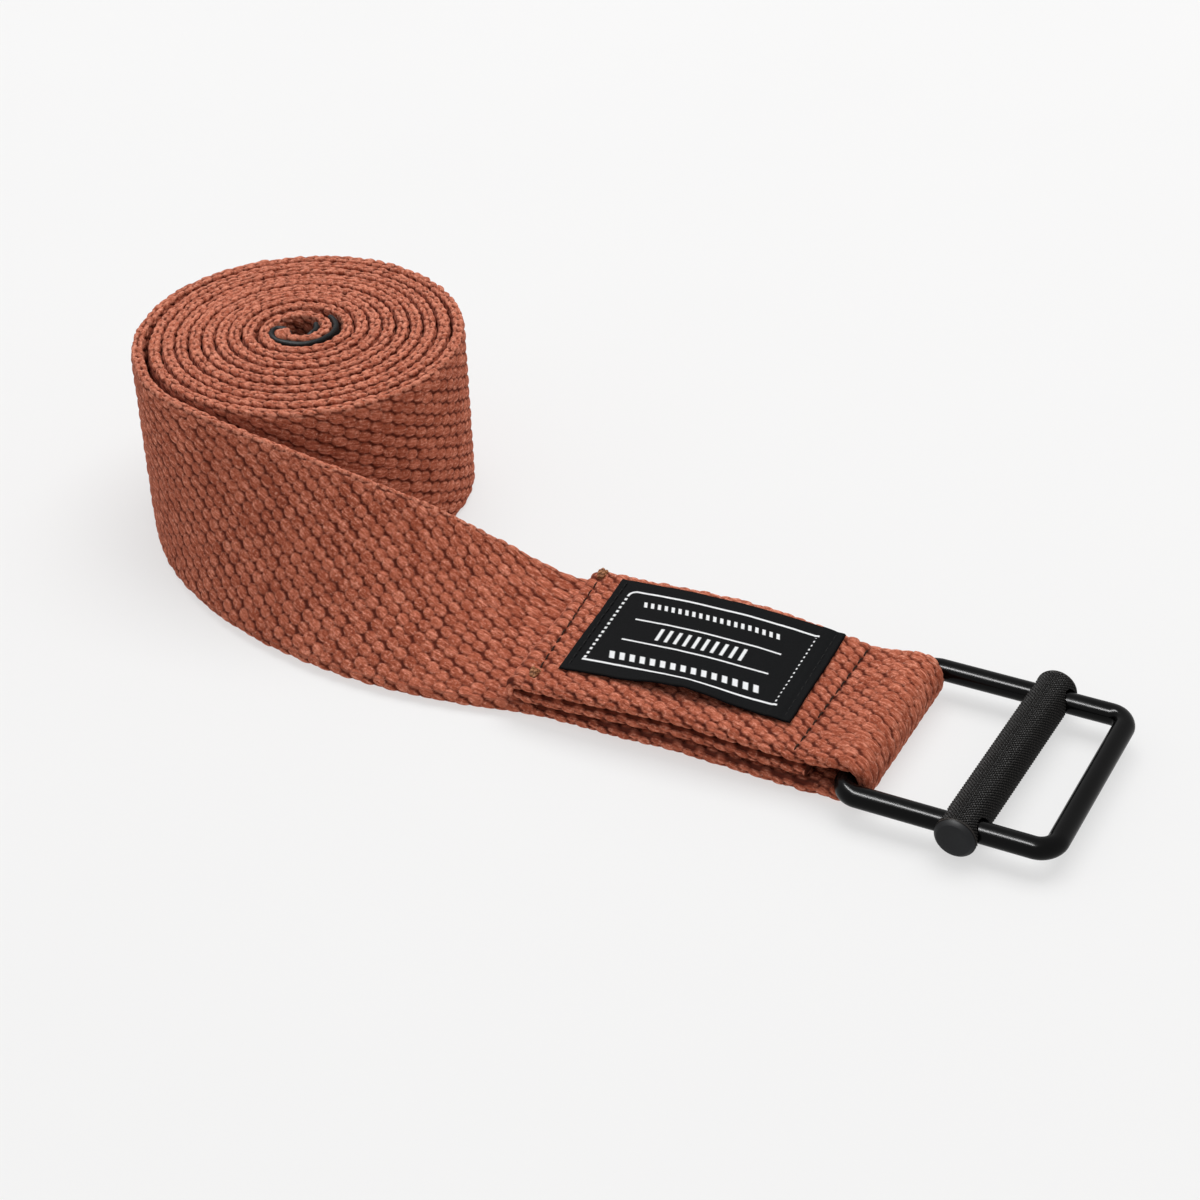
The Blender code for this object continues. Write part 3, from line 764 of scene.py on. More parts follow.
def tip_cloth_material():
    """A close black cloth with a fine plain weave."""
    look = Look("tip_cloth")
    along, around, _ = look.cloth_place()
    threads_per_radian = 9.0
    weave = look.times(*(
        look.math("SINE", look.times(place, threads_per_radian)) for place in (along, around)
    ))
    grain = look.noise(look.vector(along, around, 0.0), scale=1.6, detail=4.0)
    shade = look.ramp(grain, low=0.3, high=0.75)
    look.set("Base Color", look.mix(shade, (0.0030, 0.0034, 0.0038), (0.0100, 0.0115, 0.0125)))
    look.set("Roughness", look.ramp(grain, low=0.3, high=0.7, start=0.42, end=0.58))
    look.set("Specular IOR Level", 0.20)
    look.set("Sheen Weight", 0.03)
    look.set("Sheen Roughness", 0.4)
    uneven = look.bump(grain, strength=0.25, distance=0.0002)
    look.set("Normal", look.bump(weave, strength=0.35, distance=0.00006, normal=uneven))
    return look.material


def label_material():
    """Black damask with a woven white figure. Lengths are millimetres from the label's middle."""
    look = Look("label_cloth")
    long, wide, _ = look.cloth_place()

    def dashes(value, period, share):
        part = look.math("FRACT", look.math("DIVIDE", value, period))
        return look.band(part, 0.12, 0.12 + share, soft=0.05)

    # Two long rules. The near one waves, and the far one ends at its left in a quarter ring.
    wave = look.times(look.math("SINE", look.times(look.add(long, 6.0), 0.155)), 0.42)
    near_rule = look.times(
        look.band(look.add(wide, wave), low=-11.68, high=-11.16), look.band(long, low=-20.2, high=19.5)
    )
    ring_long, ring_wide, ring_inner, ring_outer = -18.4, 9.88, 1.26, 1.74
    far_rule = look.times(
        look.band(wide, low=ring_wide + ring_inner, high=ring_wide + ring_outer),
        look.band(long, low=ring_long, high=19.3),
    )
    off_long, off_wide = look.add(long, -ring_long), look.minus(wide, ring_wide)
    corner = look.times(
        look.band(look.length(off_long, off_wide), low=ring_inner, high=ring_outer),
        look.fade(off_long, low=-0.05, high=0.05),
        look.ramp(off_wide, low=-0.05, high=0.05),
    )
    # A dotted rule at each end.
    left_dots = look.times(
        look.band(long, low=-20.16, high=-19.64),
        look.band(wide, low=-10.9, high=9.9),
        dashes(wide, period=1.35, share=0.50),
    )
    right_dots = look.times(
        look.band(long, low=18.74, high=19.04),
        look.band(wide, low=-11.0, high=10.7),
        dashes(wide, period=1.30, share=0.40),
    )
    # A run of upright bars between two thin rules, and a row of slanted dashes on each side.
    size_long = look.math("ABSOLUTE", look.add(long, 0.4))
    size_wide = look.math("ABSOLUTE", wide)
    ladder = look.times(
        dashes(long, period=1.9, share=0.36),
        look.fade(size_wide, low=1.75, high=1.85),
        look.fade(size_long, low=9.4, high=9.5),
    )
    thin = look.times(
        look.band(size_wide, low=3.05, high=3.45), look.fade(size_long, low=15.0, high=15.1)
    )
    slanted = look.add(long, look.times(wide, 0.35))
    far_row = look.times(
        dashes(slanted, period=1.45, share=0.46),
        look.band(wide, low=7.2, high=8.7),
        look.band(slanted, low=-13.1, high=15.9),
    )
    near_row = look.times(
        dashes(slanted, period=2.10, share=0.50),
        look.band(wide, low=-9.3, high=-7.2),
        look.band(slanted, low=-18.9, high=12.6),
    )
    figure = look.chain(
        "MAXIMUM",
        near_rule, far_rule, corner, left_dots, right_dots, ladder, thin, far_row, near_row,
    )
    # Woven steps: the weft shows in short floats.
    weft_pitch, warp_pitch = 0.26, 0.20
    weft = look.math("SINE", look.times(wide, 2 * math.pi / weft_pitch))
    warp = look.math("SINE", look.times(long, 2 * math.pi / warp_pitch))
    grain = look.noise(look.vector(long, wide, 0.0), scale=2.2, detail=4.0)
    shade = look.ramp(grain, low=0.3, high=0.7)
    ground = look.mix(shade, (0.0016, 0.0018, 0.0021), (0.0036, 0.0040, 0.0046))
    crossing = look.ramp(look.times(weft, warp), low=-1.0, high=1.0, end=0.40)
    ground = look.mix(crossing, ground, (0.0075, 0.0082, 0.0092))
    white = look.mix(look.ramp(weft, low=-1.0, high=1.0), (0.62, 0.63, 0.64), (0.96, 0.97, 0.98))
    look.set("Base Color", look.mix(figure, ground, white))
    look.set("Roughness", 0.80)
    look.set("Specular IOR Level", 0.07)
    raised = look.add(look.times(look.times(weft, warp), 0.35), figure)
    look.set("Normal", look.bump(raised, strength=0.45, distance=0.00008))
    return look.material


def thread_material(name, dark, light):
    look = Look(name)
    along, around, _ = look.cloth_place()
    ply = look.math("SINE", look.add(look.times(along, 9.0), around))
    fibre = look.noise(look.vector(along, around, 0.0), scale=3.0)
    look.set("Base Color", look.mix(look.ramp(look.add(ply, fibre), low=-0.6, high=1.6), dark, light))
    look.set("Roughness", 0.75)
    look.set("Specular IOR Level", 0.12)
    look.set("Normal", look.bump(ply, strength=0.3, distance=0.00005))
    return look.material


def knurl_painted_shade_and_highlight(look, where, face):
    """Painted shade in the knurl's grooves and painted highlights on its points, so that the knurl shows.
    """
    axis = put(SLIDER_CENTRE)
    x, y, z = look.split(where)
    skew = look.times(look.minus(y, axis[1]), math.tan(math.radians(SLIDER_SKEW)))
    out = look.length(look.minus(look.minus(x, axis[0]), skew), look.minus(z, axis[2]))
    radius = SLIDER_DIAMETER / 2000
    # Painted shade: the grooves are darker.
    groove = look.ramp(out, low=radius - 0.00020, high=radius - 0.00008)
    face = look.mix(groove, (0.0008, 0.0008, 0.0008), face)
    # Painted highlight: the points are lighter.
    point = look.ramp(out, low=radius - 0.00009, high=radius - 0.00003, end=0.80)
    return look.mix(point, face, (0.046, 0.040, 0.036))


def coating_material(name, roughness, grain_scale, grain_depth, colour, specular, knurl=False):
    """Black satin coating on steel, a little uneven and dusty."""
    look = Look(name)
    where = look.object_vector()
    broad = look.noise(where, scale=110.0, detail=4.0)
    fine = look.noise(where, scale=grain_scale, roughness=0.6)
    dusty = tuple(channel * 1.8 for channel in colour)
    face = look.mix(look.ramp(broad, low=0.35, high=0.7), colour, dusty)
    if knurl:
        face = knurl_painted_shade_and_highlight(look, where, face)
    look.set("Base Color", face)
    uneven = look.add(broad, look.times(fine, 0.5))
    rough = look.ramp(uneven, low=0.5, high=1.1, start=roughness - 0.04, end=roughness + 0.07)
    look.set("Roughness", rough)
    look.set("Specular IOR Level", specular)
    look.set("Coat Roughness", 0.12)
    look.set("Normal", look.bump(fine, strength=0.30, distance=grain_depth))
    return look.material


WEBBING = webbing_material()
TIP_CLOTH = tip_cloth_material()
LABEL = label_material()
BROWN = thread_material("brown_thread", dark=(0.010, 0.0045, 0.003), light=(0.060, 0.026, 0.015))
TAN = thread_material("backtack_thread", dark=(0.110, 0.036, 0.016), light=(0.500, 0.230, 0.110))
BLACK_THREAD = thread_material(
    "black_thread", dark=(0.003, 0.003, 0.003), light=(0.012, 0.012, 0.0125)
)
WIRE = coating_material(
    "wire_coating", roughness=0.18, grain_scale=900.0, grain_depth=0.0000015,
    colour=(0.0010, 0.0010, 0.0011), specular=0.15,
)
KNURL = coating_material(
    "knurl_coating", roughness=0.42, grain_scale=1500.0, grain_depth=0.00004,
    colour=(0.0022, 0.0022, 0.0022), specular=0.13, knurl=True,
)
END_FACE = coating_material(
    "end_face_coating", roughness=0.50, grain_scale=1200.0, grain_depth=0.00003,
    colour=(0.0062, 0.0068, 0.0078), specular=0.28,
)

# ---- the strap ------------------------------------------------------------------------------
STEP = 0.31  # finest mesh step, along the strap and round it
DEPART_LENGTH = 12.0  # of the roll, meshed with the first half of the lead
OUTER_TURNS = 1.16
MID_LEAD = 64.0  # distances back from the flat end, where the lead's pieces meet
PAD_SIDE = 4.0


def woven(name, frames, along, around, adjust=None):
    """A woven strap piece: frames gives middle, across and normal at each ring."""
    middle, across, normal = frames
    width_at, out, face_across, face_out = outline(around)
    plain, tone = relief(along[:, None], around[None, :])
    height, shade = plain, 0.0
    if adjust is not None:
        height, shade = adjust(plain, along, width_at, out)
    # The selvage wanders a little.
    far_share, near_share = np.clip(width_at - 30, 0, 8), np.clip(8 - width_at, 0, 8)
    wander = 0.13 * noise_along(along / 6.3, seed=31)[:, None] * far_share[None, :] / 8
    wander = wander + 0.10 * noise_along(along / 5.1, seed=33)[:, None] * near_share[None, :] / 8
    inset = 0.05 + (width_at / STRAP_WIDTH) * (STRAP_WIDTH - 0.10)
    place_across = (inset[None, :] + face_across[None, :] * height + wander)[..., None]
    place_out = (out[None, :] + face_out[None, :] * height)[..., None]
    rings = middle[:, None] + across[:, None] * place_across + normal[:, None] * place_out
    # The third tag carries the relief height, which sets the painted shade in the pits, and the painted
    # shade that adjust returns.
    tags = grid_tags(along, around, plain + 0.2 * (height - plain) + shade)
    piece = cloth_tube(name, rings, WEBBING, tags)
    layer = piece.data.attributes.new("grain_tone", "FLOAT", "POINT")
    layer.data.foreach_set("value", (0.5 + 0.5 * tone).astype(np.float32).ravel())
    return piece


def stations(start, end):
    return np.linspace(start, end, int(round(abs(end - start) / STEP)) + 1)


def coil_arc():
    """Turns and distances of rings evenly spaced along the roll's spiral."""
    fine = np.linspace(0, COIL_TURNS, 6000)
    radius = coil_outer_radius(fine) - STRAP_THICK / 2
    walked = running(2 * math.pi * (radius[1:] + radius[:-1]) / 2 * np.diff(fine))
    along = stations(0, walked[-1])
    return np.interp(along, walked, fine), along


def raw_end(height, along, width_at, out):
    """The strap's cut end frays and lifts a little inside the fold of the tip cover."""
    last = rise(along, along[-1] - 5.0, 5.0)[:, None]
    stub = rise(along, along[-1] - 2.3, 1.2)[:, None] * rise(width_at, 36.0, 1.2)[None, :]
    fray = scatter(np.floor(along / 0.6)[:, None], np.floor(width_at)[None, :])
    return height + 0.10 * last * fray + 0.85 * stub, 0.0


COIL_AT, COIL_ALONG = coil_arc()
COIL_FRAMES = coil_frames(COIL_AT)
OUTER_END = int(np.searchsorted(COIL_AT, OUTER_TURNS))
DEPART_END = int(round(DEPART_LENGTH / (COIL_ALONG[1] - COIL_ALONG[0])))


def coil_part(rings):
    return tuple(column[rings] for column in COIL_FRAMES)


def tail_part(back):
    corner, across, normal, _ = tail_frames(back)
    return corner + normal * (STRAP_THICK / 2), across, normal


def join(*parts):
    return tuple(np.concatenate(column) for column in zip(*parts))


# Inner turns: only their edges and the eye show, so their faces are coarse in the middle.
inner = np.arange(OUTER_END, len(COIL_AT))
samples = ring_samples(plus=6.0, far=STEP, minus=6.0, near=0.6, deep=3.0)
coil_inner = woven("strap_inner_turns", coil_part(inner), COIL_ALONG[inner], samples, raw_end)

outer = np.arange(DEPART_END, OUTER_END + 1)
samples = ring_samples(plus=STEP, far=STEP, minus=2.6, near=0.45, deep=6.0)
coil_outer = woven("strap_outer_turn", coil_part(outer), COIL_ALONG[outer], samples)

# From the first millimetres of the roll to half way along the lead.
fine_samples = ring_samples(plus=STEP, far=STEP, minus=STEP, near=STEP)
coil_start = np.arange(DEPART_END, 0, -1)
back = stations(UNROLL_AT, MID_LEAD)
depart = woven(
    "strap_departure",
    join(coil_part(coil_start), tail_part(back)),
    np.concatenate([COIL_ALONG[coil_start], back - UNROLL_AT]),
    fine_samples,
)

back = stations(MID_LEAD, PAD_SIDE)
bend = woven("strap_bend", tail_part(back), back - UNROLL_AT, fine_samples)

# ---- stitched end ---------------------------------------------------------------------------
SEAM_INSET = 2.2
NEAR_SEAM = NEAR_EDGE_PAD + SEAM_INSET
FAR_SEAM = NEAR_EDGE_PAD + STRAP_WIDTH - SEAM_INSET
HEM_SKEW = 1.1
HEM = ((HEM_STITCH_X + HEM_SKEW, NEAR_SEAM + 2.4), (HEM_STITCH_X - HEM_SKEW, FAR_SEAM - 2.4))
BUCKLE = ((BUCKLE_STITCH_X - 0.2, NEAR_SEAM - 0.4), (BUCKLE_STITCH_X + 0.2, FAR_SEAM + 0.4))
TURN_COS, TURN_SIN = math.cos(math.radians(LABEL_TURN)), math.sin(math.radians(LABEL_TURN))

# Up to the flat start, along the bottom layer, round the wire and back over the top.
pad_back = stations(PAD_SIDE, 0)[:-1]
pad_along = stations(0, FOLD_ALONG[-1])
PAD_X = np.concatenate([np.full(len(pad_back), -21.0), np.interp(pad_along, FOLD_ALONG, FOLD[:, 0])])
PAD_DIRECTION = np.concatenate([np.zeros(len(pad_back)), np.interp(pad_along, FOLD_ALONG, FOLD[:, 2])])


def label_to_pad(long, wide):
    return (
        LABEL_CENTRE[0] + long * TURN_COS - wide * TURN_SIN,
        LABEL_CENTRE[1] + long * TURN_SIN + wide * TURN_COS,
    )


def pad_to_label(x, y):
    x, y = x - LABEL_CENTRE[0], y - LABEL_CENTRE[1]
    return x * TURN_COS + y * TURN_SIN, -x * TURN_SIN + y * TURN_COS


def seam_distance(x, y, ends):
    """Distance to the side of a seam's line, and distance past its ends."""
    (x0, y0), (x1, y1) = ends
    run_x, run_y = x1 - x0, y1 - y0
    length = math.hypot(run_x, run_y)
    off = ((x - x0) * run_y - (y - y0) * run_x) / length
    along = ((x - x0) * run_x + (y - y0) * run_y) / length
    return off, np.clip(np.maximum(-along, along - length), 0, None)


def pad_relief(height, along, width_at, out):
    """Presses the weave flat under the label and draws it in along the two seams."""
    x = PAD_X[:, None] + 0 * width_at[None, :]
    near, width, _, _ = pad_axes(PAD_X)
    y = near[:, None] + width_at[None, :] * (width / STRAP_WIDTH)[:, None]
    outward = (out < 0)[None, :]
    on_top = (np.abs(PAD_DIRECTION - math.pi) < 0.3)[:, None] & outward
    outside = on_top | ((PAD_DIRECTION < 0.3)[:, None] & outward)
    # The layers touch in their middles but their edges stand a little apart.
    from_edge = np.minimum(width_at, STRAP_WIDTH - width_at)
    gap = np.where(width_at < 19, 0.34, 0.18) * fall(from_edge, 1.25, 0.9)
    height = height - gap[None, :] * (PAD_X < 34)[:, None] * (np.abs(out) > 0.62)[None, :]
    # Painted shade: the edges that face another layer are darker, where the layers shade each other.
    edge_shade = (fall(from_edge, 1.9, 1.0) * (np.abs(out) > 0.97))[None, :]
    shade = -0.24 * ~outside * edge_shade * (PAD_X < 33)[:, None]
    # Round the wire the loop stands a little fuller.
    height = height + 0.22 * (rise(x, 34.0, 4.0) * outward)
    long, wide = pad_to_label(x, y)
    under = fall(np.abs(long), LABEL_LENGTH / 2, 1.0) * fall(np.abs(wide), LABEL_WIDTH / 2, 1.0)
    height = np.where(on_top, height * (1 - 0.45 * under) - 0.14 * under, height)
    for ends, depth in ((HEM, 0.34), (BUCKLE, 0.52)):
        off, beyond = seam_distance(x, y, ends)
        pull = depth * np.exp(-((off / 0.5) ** 2) - (beyond / 1.2) ** 2)
        pull = pull + 0.30 * depth * np.exp(-((off / 2.4) ** 2) - (beyond / 2.0) ** 2)
        height = np.where(outside, height - pull, height)
    return height, shade


pad = woven(
    "strap_stitched_end",
    join(tail_part(pad_back), pad_frames(pad_along)),
    np.concatenate([pad_back - UNROLL_AT, -UNROLL_AT - pad_along]),
    ring_samples(plus=2.6, far=STEP, minus=STEP, near=STEP, deep=5.0),
    pad_relief,
)

# ---- tip cover ------------------------------------------------------------------------------


def tip_cover():
    """A folded black tape over the strap's end: an outer leaf, a fold and an inner leaf."""
    span = TIP_LENGTH_DEG / 360 + 0.02
    half = TIP_LEAF / 2
    fine = np.linspace(COIL_TURNS - span - 0.01, COIL_TURNS + 0.001, 400)
    middle, _, normal = coil_frames(fine)

    def offset_line(turns, offset):
        place, out = (
            np.stack([np.interp(turns, fine, vectors[:, k]) for k in range(3)], -1)
            for vectors in (middle, normal)
        )
        return place + out * offset

    offset = STRAP_THICK / 2 + TIP_GAP + half
    outer_leaf = offset_line(np.linspace(COIL_TURNS - span, COIL_TURNS, 170), offset)
    inner_leaf = offset_line(np.linspace(COIL_TURNS, COIL_TURNS - span * 0.93, 150), -offset)
    before, end = offset_line(np.array([COIL_TURNS - 0.01, COIL_TURNS]), 0.0)
    ahead = unit(end - before)
    # The fold is pressed flat, so it comes to a blunt point.
    fold = []
    for angle in np.linspace(0, math.pi, 40)[1:-1]:
        sideways = math.copysign(abs(math.cos(angle)) ** 1.2, math.cos(angle))
        forwards = 0.1 + 2.7 * math.sin(angle) ** 1.15
        fold.append(end + normal[-1] * offset * sideways + ahead * forwards)
    line = np.concatenate([outer_leaf, np.array(fold), inner_leaf])
    line[:, 2] = 0
    # Evenly spaced again, so that the sheet's grid is regular.
    walked = distance_along(line)
    even = np.linspace(0, walked[-1], int(walked[-1] / 0.3))
    line = np.stack([np.interp(even, walked, line[:, k]) for k in range(3)], -1)
    side = level_normal(np.gradient(line, axis=0))

    low, high = 0.25 + half, STRAP_WIDTH + 0.30 - half
    section = []
    for sign, start, stop in ((1, low, high), (-1, high, low)):
        section += [(sign * half, z) for z in np.linspace(start, stop, 60)]
        section += [
            (sign * half * math.cos(angle), stop + sign * half * math.sin(angle))
            for angle in np.linspace(0, math.pi, 8)[1:-1]
        ]
    section = np.array(section)
    # The inner leaf sits lower than the strap's edge near the fold and comes up again at its end.
    sunk = rise(even, walked[len(outer_leaf) + 30], 2.5) * (1 - 0.85 * rise(even, walked[-1] - 6.5, 3.0))
    top = 0.28 * noise_along(even / 5.0, seed=41) - 1.5 * sunk
    ripple = 0.05 * noise_along(even / 2.2, seed=43)
    rings = line[:, None] + side[:, None] * (section[None, :, :1] + ripple[:, None, None])
    rings[:, :, 2] = section[None, :, 1] + top[:, None] * (section[None, :, 1] > STRAP_WIDTH / 2)
    return cloth_tube("tip_cover_cloth", rings, TIP_CLOTH, grid_tags(even, distance_along(section)))


tip = tip_cover()

# ---- label ----------------------------------------------------------------------------------


def label():
    """A woven label with heat-cut edges: a thin sheet that follows the strap and lifts at its near edge."""
    shape = (190, 120)
    half_length, half_width = LABEL_LENGTH / 2, LABEL_WIDTH / 2
    long, wide = np.meshgrid(
        np.linspace(-half_length, half_length, shape[0]),
        np.linspace(-half_width, half_width, shape[1]),
        indexing="ij",
    )
    # The cut edges are not quite straight.
    near_cut, far_cut = 0.45 * noise_along(long / 9.0, seed=53), 0.18 * noise_along(long / 8.0, seed=55)
    end_share, side_share = (np.abs(long) / half_length) ** 6, (np.abs(wide) / half_width) ** 6
    x, y = label_to_pad(
        long + end_share * 0.22 * noise_along(wide / 7.0, seed=51),
        wide + side_share * np.where(wide < 0, near_cut, far_cut),
    )
    lift = 0.14 + 0.10 * noise_along(long / 6.0 + wide / 9.0, seed=57)
    near = fall(wide, 3.2 - half_width, 3.2)
    lift = lift + near * (0.20 + 0.20 * noise_along(long / 7.5, seed=59))
    bulge = np.exp(-(((long - 1.0) / 10.5) ** 2))
    lift = lift + 1.75 * fall(wide, 7.5 - half_width, 7.5) * bulge
    seam_at = half_length - LABEL_SEAM_INSET
    lift = lift - 0.12 * np.exp(-(((np.abs(long) - seam_at) / 0.7) ** 2))
    # The fold-under at the right end is a second thickness of cloth.
    fold = rise(long, half_length - 5.0, 0.5)
    lift = lift + 0.20 * fold + 0.14 * fold * noise_along(wide / 6.0, seed=63)
    from_rim = np.minimum(half_length - np.abs(long), half_width - np.abs(wide))
    lip = np.sqrt(np.clip(1 - (1 - np.clip(from_rim / 0.25, 0, 1)) ** 2, 0, 1))
    top = pad_at(x, TOP + lift + 0.08 + (LABEL_THICK - 0.08) * lip, y)
    under = pad_at(x, TOP + lift + 0.08 - 0.02 * lip, y)
    # The two sheets share their rim, so the body is closed.
    rim = np.ones(shape, bool)
    rim[1:-1, 1:-1] = False
    upper = np.arange(long.size).reshape(shape)
    lower = np.where(rim, upper, upper + long.size)
    keep = np.concatenate([np.ones(long.size, bool), ~rim.reshape(-1)])
    renumber = np.cumsum(keep) - 1
    quads = renumber[np.concatenate([grid_quads(upper), grid_quads(lower)[:, [0, 3, 2, 1]]])]
    verts = np.concatenate([top.reshape(-1, 3), under.reshape(-1, 3)])
    mesh = raw_mesh("woven_label_cloth", put(verts[keep]), quads)
    tags = np.stack([long, wide, 0 * long], -1).reshape(-1, 3)
    set_tags(mesh, np.concatenate([tags, tags])[keep])
    return add("woven_label_cloth", mesh, LABEL)


label_piece = label()

# ---- sewing thread --------------------------------------------------------------------------
ROPE_SIDES = 9
PLY_PITCH = 1.1


def rope(points, radius):
    """Rings of a two-ply thread along a line, closing to small ends."""
    points = np.asarray(points, float)
    ahead = unit(np.gradient(points, axis=0))
    side = unit(np.cross(ahead, np.array([0.03, 0.05, 1.0])))
    over = np.cross(side, ahead)
    walked = distance_along(points)
    part = np.linspace(0, 1, len(points))
    taper = np.sqrt(np.clip(1 - (2 * part - 1) ** 8, 0.02, 1))
    angle = np.linspace(0, 2 * math.pi, ROPE_SIDES, endpoint=False)
    lobes = 1 + 0.16 * np.cos(2 * (angle[None, :] - 2 * math.pi * walked[:, None] / PLY_PITCH))
    reach = (radius * taper[:, None] * lobes)[..., None]
    turned = np.cos(angle)[None, :, None] * side[:, None] + np.sin(angle)[None, :, None] * over[:, None]
    return points[:, None] + reach * turned, grid_tags(walked, angle)


def threads(name, lines, radius, material):
    """One object of many short threads."""
    verts, quads, ngons, tags, count = [], [], [], [], 0
    for line in lines:
        rings, line_tags = rope(line, radius)
        index = np.arange(len(line_tags)).reshape(rings.shape[:2]) + count
        quads.append(ring_quads(index[:-1], index[1:])[:, [0, 3, 2, 1]])
        ngons += [index[0], index[-1][::-1]]
        verts.append(rings.reshape(-1, 3))
        tags.append(line_tags)
        count += len(line_tags)
    mesh = raw_mesh(name, put(np.concatenate(verts)), np.concatenate(quads), ngons)
    face_outward(mesh)
    set_tags(mesh, np.concatenate(tags))
    return add(name, mesh, material)


def stitches(ends, length, gap, height, sink, below=False, seed=71):
    """Stitch lines along a seam on the pad: each arches out of the cloth and dives back in."""
    base, sign = (0.0, -1.0) if below else (TOP, 1.0)
    (x0, y0), (x1, y1) = ends
    total = math.hypot(x1 - x0, y1 - y0)
    count = max(1, int(round(total / length)))
    ahead_x, ahead_y = (x1 - x0) / total, (y1 - y0) / total
    part = np.linspace(0, 1, 13)
    out = sink + (height - sink) * np.sin(math.pi * part) ** 0.6
    lines = []
    for k in range(count):
        start, end = total * k / count + gap / 2, total * (k + 1) / count - gap / 2
        along = start + (end - start) * part
        sway, lean = 0.05 * float(scatter(k, seed)), 0.10 * float(scatter(k, seed + 1))
        off = sway + lean * (part - 0.5)
        x = x0 + ahead_x * along - ahead_y * off
        lines.append(pad_at(x, base + sign * out, y0 + ahead_y * along + ahead_x * off))
    return lines


def backtack(x, y, seed):
    """The lump where the seam was sewn back and forth: short stitches over one another."""
    lines = []
    part = np.linspace(0, 1, 12)
    for k in range(9):
        off_x, off_y, longer, lean = (
            size * float(scatter(k, seed + shift))
            for size, shift in ((0.55, 0), (0.35, 3), (0.5, 5), (0.45, 7))
        )
        height = -0.25 + (0.46 + 0.09 * k) * np.sin(math.pi * part) ** 0.7
        across = y + off_y + (2.2 + longer) * (part - 0.5)
        lines.append(pad_at(x + off_x + lean * (part - 0.5), TOP + height, across))
    return lines


def tip_stitches(name, offset):
    """A seam up the tip cover, offset out from the strap's middle."""
    seam_at = COIL_TURNS - (TIP_LENGTH_DEG - 14) / 360
    middle, _, normal = coil_frames(np.linspace(seam_at - 0.02, seam_at + 0.02, 9))
    low, length, count, gap = 1.5, 35.0, 14, 0.30
    part = np.linspace(0, 1, 11)
    out = offset + np.sign(offset) * (-0.10 + 0.16 * np.sin(math.pi * part) ** 0.6)
    lines = []
    for k in range(count):
        start = low + length * k / count + gap / 2
        end = low + length * (k + 1) / count - gap / 2
        line = middle[4][None, :] + normal[4][None, :] * out[:, None]
        line[:, 2] = start + (end - start) * part
        lines.append(line)
    return threads(name, lines, 0.13, BLACK_THREAD)


# Name, seam, stitch length, gap, height, depth of the ends, on the underside, seed, thread radius
hem_top, hem_low, buckle_top, buckle_low = [
    threads(name, stitches(*seam), radius, BROWN)
    for name, *seam, radius in (
        ("hem_needle_stitches", HEM, 2.6, 0.45, -0.10, -0.60, False, 71, 0.145),
        ("hem_bobbin_stitches", HEM, 2.5, 0.35, 0.02, -0.5, True, 71, 0.19),
        ("buckle_needle_stitches", BUCKLE, 2.7, 0.45, -0.30, -0.85, False, 81, 0.155),
        ("buckle_bobbin_stitches", BUCKLE, 2.6, 0.3, 0.0, -0.6, True, 83, 0.19),
    )
]
tacks = []
for name, y, seed in (
    ("hem_backtack_near_stitches", NEAR_SEAM + 0.4, 91),
    ("hem_backtack_far_stitches", FAR_SEAM - 0.4, 95),
):
    x = HEM_STITCH_X - (y / (FAR_SEAM - NEAR_SEAM)) * 2 * HEM_SKEW
    tacks.append(threads(name, backtack(x, y, seed), 0.29, TAN))
label_seams = []
for side, name in ((-1, "label_left_stitches"), (1, "label_right_stitches")):
    ends = [
        label_to_pad(side * (LABEL_LENGTH / 2 - LABEL_SEAM_INSET), end * (LABEL_WIDTH / 2 - 1.0))
        for end in (-1, 1)
    ]
    lines = stitches(ends, length=2.2, gap=0.3, height=0.72, sink=0.42, seed=61)
    label_seams.append(threads(name, lines, 0.14, BLACK_THREAD))

TIP_SEAM_REACH = STRAP_THICK / 2 + TIP_GAP + 1.1
tip_outer_seam = tip_stitches("tip_needle_stitches", TIP_SEAM_REACH)
tip_inner_seam = tip_stitches("tip_bobbin_stitches", -TIP_SEAM_REACH)

# ---- buckle ---------------------------------------------------------------------------------


